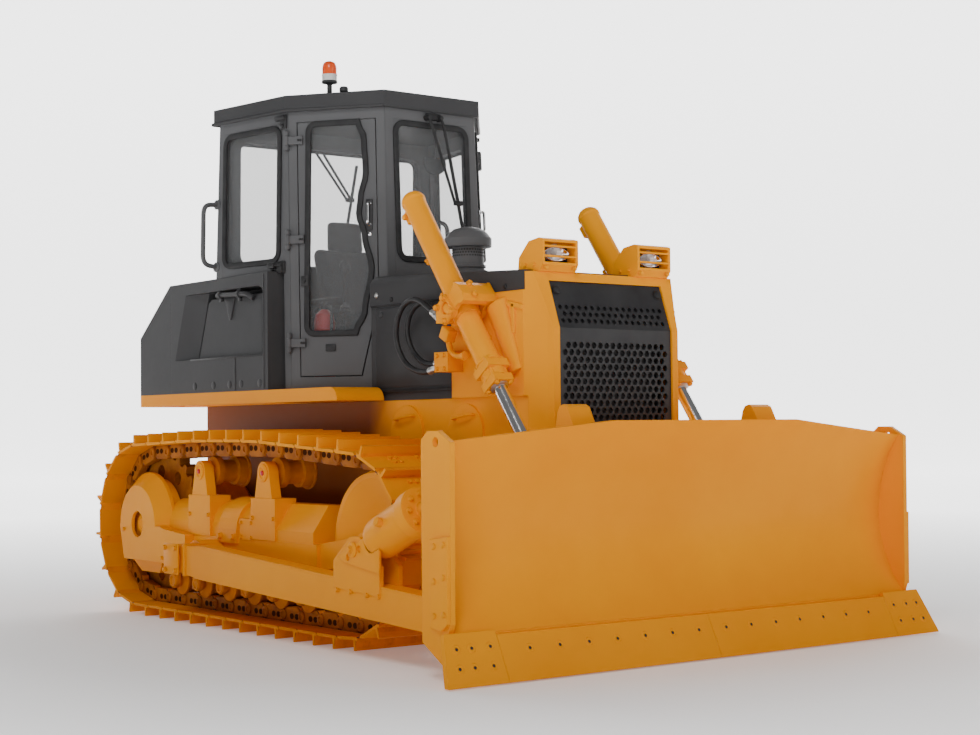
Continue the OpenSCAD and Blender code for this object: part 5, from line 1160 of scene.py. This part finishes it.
# %% Blade edge bolts
bm = bmesh.new()
dimple_shade = bmesh.new()
edge_top, edge_tip = Vector((3706, 0, 225)), Vector((3811, 0, 6))
down_edge = (edge_tip - edge_top).normalized()
face_out = Vector((-down_edge.z, 0, down_edge.x))
rows = [(y, 0.40) for y in (90, 260, 430, 600, 770, 940, 1110)]
rows += [(1320, 0.30), (1420, 0.30), (1500, 0.30), (1330, 0.66), (1430, 0.66), (1510, 0.66)]
for side in (-1, 1):
    for y, share in rows:
        spot = edge_top.lerp(edge_tip, share)
        foot = at(spot.x, side * y, spot.z)
        turned(bm, [(0, 0.0015), (0.009, 0.0015), (0.011, 0.0030), (0.019, 0.0030), (0.022, 0)], foot,
               face_out, 20)
        # A dark disc in each bolt's dimple is painted shade.
        turned(dimple_shade, [(0, 0.0020), (0.0075, 0.0020), (0.0090, 0.0012)], foot, face_out, 8)
    # Bolts of the wear plate on the end plate
    for x, z in ((3590, 290), (3590, 440), (3590, 590), (3660, 300), (3660, 460), (3660, 600)):
        bolt(bm, at(x, side * 1511, z), Vector((0, side, 0)), 0.022, 0.006)
piece("edge_bolts", bm, blade_yellow, "blade_group")
piece("edge_bolt_dimple_shade", dimple_shade, black_iron, "blade_group")

# %% [markdown]
# Each push arm is a welded box: a flange stands round it ahead of its bearing, and a weld bead runs along
# its upper edge. The brace pins have round covers with a bolt. On the right the brace is the tilt
# cylinder, whose gland is a ring with eight bolts.

# %% Push arm and brace fittings
bm = bmesh.new()
for side in (-1, 1):
    out = Vector((0, side, 0))
    y0, y1 = sorted((side * 1245, side * 1385))
    slab(bm, at(1010, y0, 300), at(1034, y1, 476), 0.004)
    for spot in (Vector((2760, 0, 530)), Vector((3400, 0, 800))):
        face = 1393 if spot.x < 3000 else 1381
        turned(bm, [(0, 0), (0.038, 0), (0.038, 0.006), (0.030, 0.012), (0, 0.013)],
               at(spot.x, side * face, spot.z), out, 24)
        bolt(bm, at(spot.x, side * (face + 12), spot.z), out, 0.030, 0.016)
    for x in (2600, 2720, 2860, 2960):
        bolt(bm, at(x, side * 1375, 330 if x < 2800 else 322), out, 0.022, 0.014)
    # Weld bead along the arm's upper edge
    pipe(bm, [at(x, side * 1373, 470 - (x - 1190) * 0.059) for x in range(1200, 3440, 80)], 0.005, 6)
# Gland ring and port on the tilt cylinder
tilt_axis = Vector((640, 0, 270)).normalized()
start = at(2760, -1315, 530)
turned(bm, [(0.102, 0.440), (0.116, 0.444), (0.116, 0.512), (0.104, 0.516), (0.040, 0.516),
            (0.037, 0.520)], start, tilt_axis, 36)
across = tilt_axis.cross(Y)
for k in range(8):
    a = math.tau * k / 8
    bolt(bm, start + tilt_axis * 0.514 + (Y * math.cos(a) + across * math.sin(a)) * 0.078, tilt_axis,
         0.022, 0.014)
rod(bm, start + tilt_axis * 0.30 + Vector((0, -0.095, 0.02)),
    start + tilt_axis * 0.30 + Vector((0, -0.128, 0.03)), 0.022, sides=6)
piece("arm_and_brace_fittings", bm, yellow, "blade_group")

# %% [markdown]
# The seat is upholstered foam: a base, a back and a headrest. Each starts as a slightly small block with
# round edges, gets an even grid of faces from a voxel remesh, and is then blown up by a short cloth
# simulation with inner pressure, which crowns the faces and pulls the sides in between the corners as
# real stuffing does. No point may travel more than 14 mm.

# %% Seat cushions
FLOOR_TOP = 1359


def block_of(outline, half):
    """An x and z outline in machine millimetres, pulled across the machine and rounded."""
    bm = bmesh.new()
    face = bm.faces.new([bm.verts.new(at(x, -half, z)) for x, z in outline])
    top = bmesh.ops.extrude_face_region(bm, geom=[face])["geom"]
    bmesh.ops.translate(bm, vec=(0, mm(2 * half), 0), verts=points_of(top))
    bmesh.ops.recalc_face_normals(bm, faces=bm.faces)
    bmesh.ops.bevel(bm, geom=bm.edges[:], offset=0.026, segments=3, profile=0.5, affect="EDGES",
                    material=-1)
    return bm


def stuffed(name, outline, half, travel=0.014):
    cushion = piece(name, block_of(outline, half), seat_cloth, "hull")
    grid = cushion.modifiers.new("grid", "REMESH")
    grid.mode = "VOXEL"
    grid.voxel_size = 0.012
    shape = bpy.data.meshes.new_from_object(cushion.evaluated_get(bpy.context.evaluated_depsgraph_get()))
    cushion.modifiers.remove(grid)
    cushion.data = shape
    start = [v.co.copy() for v in shape.vertices]
    cloth = cushion.modifiers.new("stuffing", "CLOTH")
    cloth.settings.use_pressure = True
    cloth.settings.uniform_pressure_force = 4.0
    cloth.settings.effector_weights.gravity = 0.0
    cloth.point_cache.frame_end = 20
    for step in range(1, 21):
        bpy.context.scene.frame_set(step)
    blown = cushion.evaluated_get(bpy.context.evaluated_depsgraph_get()).to_mesh()
    ends = [v.co.copy() for v in blown.vertices]
    cushion.modifiers.remove(cloth)
    bpy.context.scene.frame_set(1)
    for v, a, b in zip(shape.vertices, start, ends):
        gap = b - a
        v.co = a + gap * min(1.0, travel / max(gap.length, 1e-6))
    shape.shade_smooth()
    if not shape.materials:
        shape.materials.append(seat_cloth)
    finer = cushion.modifiers.new("finer", "SUBSURF")
    finer.levels = finer.render_levels = 1
    print(name, "points", len(shape.vertices))
    return cushion


base = stuffed("seat_base_cushion", [(550, 1636), (1030, 1646), (1036, 1738), (990, 1746), (550, 1736)],
               232)
back = stuffed("seat_back_cushion", [(556, 1764), (662, 1764), (582, 2150), (562, 2224), (500, 2232),
                                     (478, 2190)], 222)
head = stuffed("seat_head_cushion", [(484, 2206), (574, 2198), (552, 2390), (484, 2398)], 118, 0.012)
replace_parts(base, "operator_seat")
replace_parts(back, "operator_seat")
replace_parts(head, "operator_seat")

# %% [markdown]
# Under the cushions stands a pressed steel pedestal with a rubber bellows, and two folding armrests hang
# on the back's sides. Slim posts carry the headrest.

# %% Seat frame
bm = bmesh.new()
slab(bm, at(600, -190, FLOOR_TOP), at(980, 190, 1400), 0.010)
for z in (1410, 1450, 1490, 1530, 1570):
    slab(bm, at(620 - z % 80 * 0.2, -176, z - 16), at(960 + z % 80 * 0.2, 176, z + 20), 0.016, segments=3)
slab(bm, at(560, -214, 1594), at(1010, 214, 1626), 0.010)
for y in (-300, 300):
    slab(bm, at(622, y - 28, 1842), at(958, y + 28, 1897), 0.020, segments=4)
    pipe(bm, bent([at(690, y * 0.84, 1640), at(690, y * 0.98, 1700), at(690, y * 0.98, 1846)], 0.03),
         0.016, 12)
for y in (-60, 60):
    pipe(bm, [at(536, y, 2190), at(530, y, 2260)], 0.008, 10)
piece("seat_frame", bm, black_plastic, "hull")

# %% [markdown]
# Seen through the panes: levers in rubber boots, pedals, round gauges on the console, a mirror at the top
# of the windshield and a red extinguisher by the door. They are small, but the glass shows them all.

# %% Inside the cab
bm = bmesh.new()
dials = bmesh.new()
red = bmesh.new()
for y in (-380, 380):
    foot = at(1120, y, 1779)
    turned(bm, [(0.040, 0), (0.044, 0.006), (0.034, 0.014), (0.038, 0.022), (0.028, 0.030),
                (0.031, 0.038), (0.020, 0.048), (0.012, 0.062), (0.0095, 0.064)], foot, Z, 24)
    turned(bm, [(0, 0.072), (0.016, 0.070), (0.030, 0.052), (0.035, 0.034), (0.033, 0.016), (0.024, 0),
                (0.012, -0.012)], at(1120, y, 2020), Z, 24)
panel_out = Vector((-0.70, 0, 0.714)).normalized()
for y in (-150, -50, 50, 150):
    turned(dials, [(0, 0.004), (0.030, 0.004), (0.032, 0.010), (0.037, 0.010), (0.038, 0)],
           at(1266, y, 2072), panel_out, 24)
for y in (-120, 120):
    slab(bm, Vector((-0.06, -0.045, 0)), Vector((0.06, 0.045, 0.014)), 0.006,
         Matrix.Translation(at(1190, y, 1400)) @ Matrix.Rotation(math.radians(-30), 4, "Y"))
    pipe(bm, [at(1200, y, 1362), at(1200, y, 1400)], 0.010, 10)
# Mirror with its stalk
outline = [(0.078 * math.cos(a), -0.062 * math.sin(a)) for a in (math.pi * k / 12 for k in range(13))]
outline += [(-0.074, 0.034), (0.074, 0.034)]
mirror_turn = Matrix.Rotation(quarter, 4, "Z") @ Matrix.Rotation(quarter, 4, "X")
mirror_place = Matrix.Translation(at(1376, 84, 2660)) @ mirror_turn
outline_plate(bm, outline, 0.018, mirror_place, 0.006)
pipe(bm, bent([at(1384, 84, 2690), at(1392, 84, 2800), at(1396, 84, 2900)], 0.03), 0.007, 10)
# Extinguisher on its foot
BOTTLE_X, BOTTLE_Y = 1085, -500
turned(red, [(0, 0), (0.056, 0), (0.062, 0.008), (0.062, 0.330), (0.052, 0.372), (0.026, 0.394),
             (0.020, 0.400)], at(BOTTLE_X, BOTTLE_Y, 1400), Z, 28)
turned(bm, [(0.020, 0), (0.022, 0.004), (0.022, 0.034), (0.012, 0.044), (0, 0.046)],
       at(BOTTLE_X, BOTTLE_Y, 1800), Z, 20)
slab(bm, Vector((-0.055, -0.010, 0.030)), Vector((0.030, 0.010, 0.046)), 0.004,
     Matrix.Translation(at(BOTTLE_X, BOTTLE_Y, 1800)))
slab(bm, Vector((-0.070, -0.070, 0)), Vector((0.070, 0.070, 0.040)), 0.008,
     Matrix.Translation(at(BOTTLE_X, BOTTLE_Y, 1361)))
pipe(bm, bent([at(x, BOTTLE_Y, z) for x, z in ((1110, 1820), (1165, 1810), (1160, 1700), (1150, 1560))],
              0.04), 0.009, 10)
piece("cab_fittings", bm, black_plastic, "hull")
piece("console_dials", dials, zinc, "hull")
piece("extinguisher", red, red_paint, "hull")

# %% [markdown]
# On the outside of the cab sit the small forged things that a hand finds: the hold-open catch with its
# striker on the door, lifting brackets on the posts, and grab rails bent from one tube. The solid rail has
# square corners, so a bent tube with round corners takes its place.

# %% Catches, brackets and grab rails
bm = bmesh.new()
rails = bmesh.new()


def clip(bm, wall, x, z, size, proud, edge=0.005):
    """A block on a wall: its middle in wall millimetres and height, its size and how far it stands out."""
    slab(bm, Vector((-mm(size[0]) / 2, -mm(size[1]) / 2, 0)),
         Vector((mm(size[0]) / 2, mm(size[1]) / 2, mm(proud))), edge,
         wall.place @ Matrix.Translation((mm(x), mm(wall.level(z)), 0)))


out = facing(side_wall)
far_end = side_wall.right(side_wall.level(2040))
clip(bm, side_wall, far_end - 96, 2046, (120, 74), 14)
clip(bm, side_wall, far_end - 120, 2056, (56, 34), 52)
clip(bm, side_wall, far_end - 62, 2040, (40, 60), 34)
for x in (-140, -50):
    bolt(bm, on_wall(side_wall, far_end + x, side_wall.level(2024), 14), out, 0.018, 0.012)
rod(bm, on_wall(side_wall, far_end - 160, side_wall.level(2056), 34),
    on_wall(side_wall, far_end - 40, side_wall.level(2056), 34), 0.007, sides=12)
far_end = side_wall.right(side_wall.level(2890))
clip(bm, side_wall, far_end - 30, 2896, (56, 84), 16)
clip(bm, side_wall, far_end - 44, 2918, (80, 26), 34)
turned(bm, [(0, 0), (0.012, 0), (0.012, 0.008), (0.006, 0.012), (0, 0.012)],
       on_wall(side_wall, far_end - 30, side_wall.level(2872), 16), out, 14)
mirror_over(bm)
piece("cab_catches", bm, black_iron, "hull")
RAIL_X, RAIL_OUT = 26, 104
line = bent([on_wall(side_wall, RAIL_X, side_wall.level(z), off)
             for z, off in ((2090, 1), (2100, RAIL_OUT), (2460, RAIL_OUT), (2470, 1))], 0.06, 8)
pipe(rails, line, 0.0145, 16)
for z in (2090, 2470):
    turned(rails, [(0, 0), (0.030, 0), (0.030, 0.005), (0.018, 0.010), (0.0145, 0.011)],
           on_wall(side_wall, RAIL_X, side_wall.level(z), 0), out, 20)
mirror_over(rails)
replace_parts(piece("grab_rails", rails, cab_grey, "hull"), "grab_handles")
for side in ("right", "left"):
    bm = bmesh.new()
    near = door_wall.left(door_wall.level(1960))
    clip(bm, door_wall, near + POST + GAP + 34, 1958, (46, 58), 20)
    bolt(bm, on_wall(door_wall, near + POST + GAP + 34, door_wall.level(1958), 20), facing(door_wall),
         0.020, 0.012)
    if side == "left":
        flip_side(bm)
    piece(f"{side}_door_striker", bm, black_iron, f"{side}_door_leaf")

# %% [markdown]
# The roof's edge is folded over a rain gutter, and the flashing beacon stands on it: a black stalk and
# foot, a white ring and an amber dome with moulded ribs. One lathe outline per colour makes them.

# %% Roof edge and beacon
ROOF_TOP = 3063
gutter = bmesh.new()
rim = [(1470, -336), (992, -706), (329, -818)]
rim += [(x, -y) for x, y in reversed(rim)]
rim.append(rim[0])
pipe(gutter, [at(x, y, 2958) for x, y in rim], 0.011, 8)
for x, y in ((1180, -250), (1180, 250), (560, -500), (560, 500)):
    turned(gutter, [(0, 0), (0.030, 0), (0.032, 0.004), (0.022, 0.012), (0, 0.013)], at(x, y, ROOF_TOP),
           Z, 20)
turned(gutter, [(0, 0), (0.026, 0), (0.026, 0.018), (0.020, 0.028), (0, 0.030)],
       at(1215, -440, ROOF_TOP), Z, 24)
piece("roof_gutter", gutter, charcoal, "hull")
foot = at(1060, -440, ROOF_TOP)
stalk = bmesh.new()
turned(stalk, [(0, 0), (0.042, 0), (0.042, 0.008), (0.020, 0.014), (0.015, 0.020), (0.015, 0.064),
               (0.024, 0.070), (0.045, 0.074), (0.047, 0.080), (0.046, 0.086), (0, 0.086)], foot, Z, 36)
ring = bmesh.new()
turned(ring, [(0, 0.086), (0.043, 0.086), (0.044, 0.090), (0.044, 0.116), (0.046, 0.118),
              (0.046, 0.124), (0, 0.124)], foot, Z, 36)
dome = bmesh.new()
turned(dome, [(0, 0.1245), (0.043, 0.1245), (0.0435, 0.130), (0.0425, 0.138), (0.0435, 0.146),
              (0.0425, 0.154), (0.0430, 0.162), (0.0415, 0.172), (0.038, 0.186), (0.030, 0.197),
              (0.016, 0.2035), (0, 0.204)], foot, Z, 36)
piece("beacon_stalk", stalk, black_plastic, "hull")
piece("beacon_ring", ring, white_plastic, "hull")
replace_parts(piece("beacon_dome", dome, amber, "hull"), "beacon_lamp")

# %% [markdown]
# Behind the cab, the tank's lobe has a carrying pipe in two ring clamps, the ledge box a seam, and the
# fuel tank a cap, tail lamps and a bolted service plate.

# %% Tank and rear fittings
TANK_TOP, PIPE_Y = 2020, 792
bm = bmesh.new()
zinced = bmesh.new()
lamps = bmesh.new()
for side in (-1, 1):
    out = Vector((0, side, 0))
    line = bent([at(300, side * 770, 1916), at(330, side * PIPE_Y, 1922), at(690, side * PIPE_Y, 1908),
                 at(740, side * 774, 1880)], 0.03)
    pipe(bm, line, 0.016, 14)
    for x, z in ((372, 1921), (600, 1912)):
        turned(bm, [(0.015, -0.012), (0.024, -0.012), (0.024, 0.012), (0.015, 0.012)],
               at(x, side * PIPE_Y, z), Vector((1, 0, 0)), 18)
        slab(bm, Vector((-0.012, -0.010, -0.040)), Vector((0.012, 0.010, -0.014)), 0.003,
             Matrix.Translation(at(x, side * 786, z)))
        turned(bm, [(0.010, -0.004), (0.018, -0.004), (0.018, 0.004), (0.010, 0.004)],
               at(x, side * PIPE_Y, z + 38), out, 16)
    # Hanging bracket under the pipe
    bracket_place = Matrix.Translation(at(430, side * 759, 1896)) @ Matrix.Rotation(quarter, 4, "X")
    outline_plate(bm, [(-0.050, 0), (0.070, 0), (0.020, -0.130), (0, -0.130)], 0.010, bracket_place, 0.002)
    # Ledge box with its seam, its end lip and screws
    y0, y1 = sorted((side * 802, side * 809))
    slab(bm, at(566, y0, 1340), at(572, y1, 1536), 0.001)
    slab(bm, at(4, y0, 1534), at(910, y1, 1544), 0.002)
    slab(bm, at(906, y0, 1344), at(914, y1, 2008), 0.002)
    for x in (60, 300, 500, 640, 860):
        turned(bm, [(0, 0), (0.024, 0), (0.023, 0.0015), (0.015, 0.0035), (0, 0.0045)],
               at(x, side * 805, 1376), out, 20)
    # Tail lamps on the slope of the tank
    slab(bm, Vector((-0.030, -0.060, -0.040)), Vector((0.012, 0.060, 0.040)), 0.008,
         Matrix.Translation(at(-662, side * 640, 1650)))
    slab(lamps, Vector((-0.008, -0.050, -0.030)), Vector((0.004, 0.050, 0.030)), 0.004,
         Matrix.Translation(at(-690, side * 640, 1650)))
    for z in (1400, 1560, 1660):
        bolt(bm, at(-690, side * 330, z), Vector((-1, 0, 0)), 0.020, 0.012)
# Service plate in the rear step and the filler cap above it
slab(bm, at(-684, -236, 1392), at(-671, 236, 1636), 0.004)
for y in (-210, -70, 70, 210):
    for z in (1412, 1616):
        bolt(zinced, at(-684, y, z), Vector((-1, 0, 0)), 0.018, 0.010)
turned(bm, [(0.092, 0), (0.092, 0.012), (0.080, 0.018), (0.080, 0.050), (0.074, 0.058), (0.020, 0.060),
            (0, 0.060)], at(-60, -200, TANK_TOP), Z, 40)
slab(bm, Vector((-0.060, -0.010, 0.058)), Vector((0.060, 0.010, 0.080)), 0.005,
     Matrix.Translation(at(-60, -200, TANK_TOP)))
for x in (-180, 240):
    for y in (-520, -260, 260, 520):
        bolt(bm, at(x, y, TANK_TOP), Z, 0.022, 0.013)
piece("tank_fittings", bm, charcoal, "hull")
piece("service_plate_bolts", zinced, zinc, "hull")
piece("tail_lamps", lamps, red_paint, "hull")

# %% [markdown]
# A plain pale floor runs far behind the machine and bends up into a wall, as a photographer's
# paper roll does, so that no horizon shows. The paper glows a little more with distance, as a lit
# studio wall does, and three large soft lamps and a pale sky give the rest of the light.

# %% Floor and light
paper = bmesh.new()
PAPER_HALF, NEAR_END, BEND_AT, BEND, WALL_TOP = 60, -220, 30, 12, 45
profile = [(NEAR_END, 0), (BEND_AT, 0)]
profile += [(BEND_AT + BEND * math.sin(a), BEND - BEND * math.cos(a))
            for a in (k * math.pi / 16 for k in range(1, 9))]
profile.append((BEND_AT + BEND, WALL_TOP))
strip = [paper.verts.new((-PAPER_HALF, y, z)) for y, z in profile]
edges = [paper.edges.new(pair) for pair in zip(strip, strip[1:])]
run = bmesh.ops.extrude_edge_only(paper, edges=edges)["geom"]
bmesh.ops.translate(paper, vec=(2 * PAPER_HALF, 0, 0), verts=points_of(run))
bmesh.ops.rotate(paper, cent=(0, 0, 0), matrix=Matrix.Rotation(yaw - math.pi / 2, 3, "Z"),
                 verts=paper.verts)
bmesh.ops.translate(paper, vec=(0, 0, -0.001), verts=paper.verts)
floor_mesh = bpy.data.meshes.new("paper_floor")
paper.to_mesh(floor_mesh)
paper.free()
floor_mesh.shade_smooth()
floor = bpy.data.objects.new("paper_floor", floor_mesh)
bpy.context.scene.collection.objects.link(floor)
pale, tree, shader = new_finish("paper")
tree.links.new(ramp(tree, noise(tree, 0.6, 2), [(0.3, (0.90, 0.90, 0.90)), (0.7, (0.92, 0.92, 0.92))]),
               shader.inputs["Base Color"])
shader.inputs["Roughness"].default_value = 0.85
shader.inputs["Specular IOR Level"].default_value = 0.1
far = add(tree, "VectorMath", {"operation": "LENGTH"})
tree.links.new(place_of(tree), far.inputs[0])
glow = add(tree, "MapRange", Value=far.outputs["Value"], From_Min=2.5, From_Max=14.0, To_Min=0.18,
           To_Max=2.5)
shader.inputs["Emission Color"].default_value = (1, 1, 1, 1)
tree.links.new(glow.outputs["Result"], shader.inputs["Emission Strength"])
floor_mesh.materials.append(pale)

sky = bpy.data.worlds.new("studio")
bpy.context.scene.world = sky
sky.use_nodes = True
backdrop = sky.node_tree.nodes["Background"]
backdrop.inputs["Color"].default_value = (1.0, 0.995, 0.985, 1)
backdrop.inputs["Strength"].default_value = 0.16


def lamp(name, spot, target, size, power):
    light = bpy.data.lights.new(name, "AREA")
    light.shape = "DISK"
    light.size = size
    light.energy = power
    made = bpy.data.objects.new(name, light)
    bpy.context.scene.collection.objects.link(made)
    spot, target = Vector(spot), Vector(target)
    made.matrix_world = Matrix.Translation(spot) @ aim(spot - target)


lamp("key", (7.0, -7.5, 9.0), (0, 0, 1.2), 4.0, 520)
lamp("fill", (10.0, 3.0, 4.0), (0.5, 0, 1.0), 5.0, 90)
lamp("rim", (-7.0, 5.0, 7.5), (0, 0, 1.5), 5.0, 210)
print("lamps", 3)
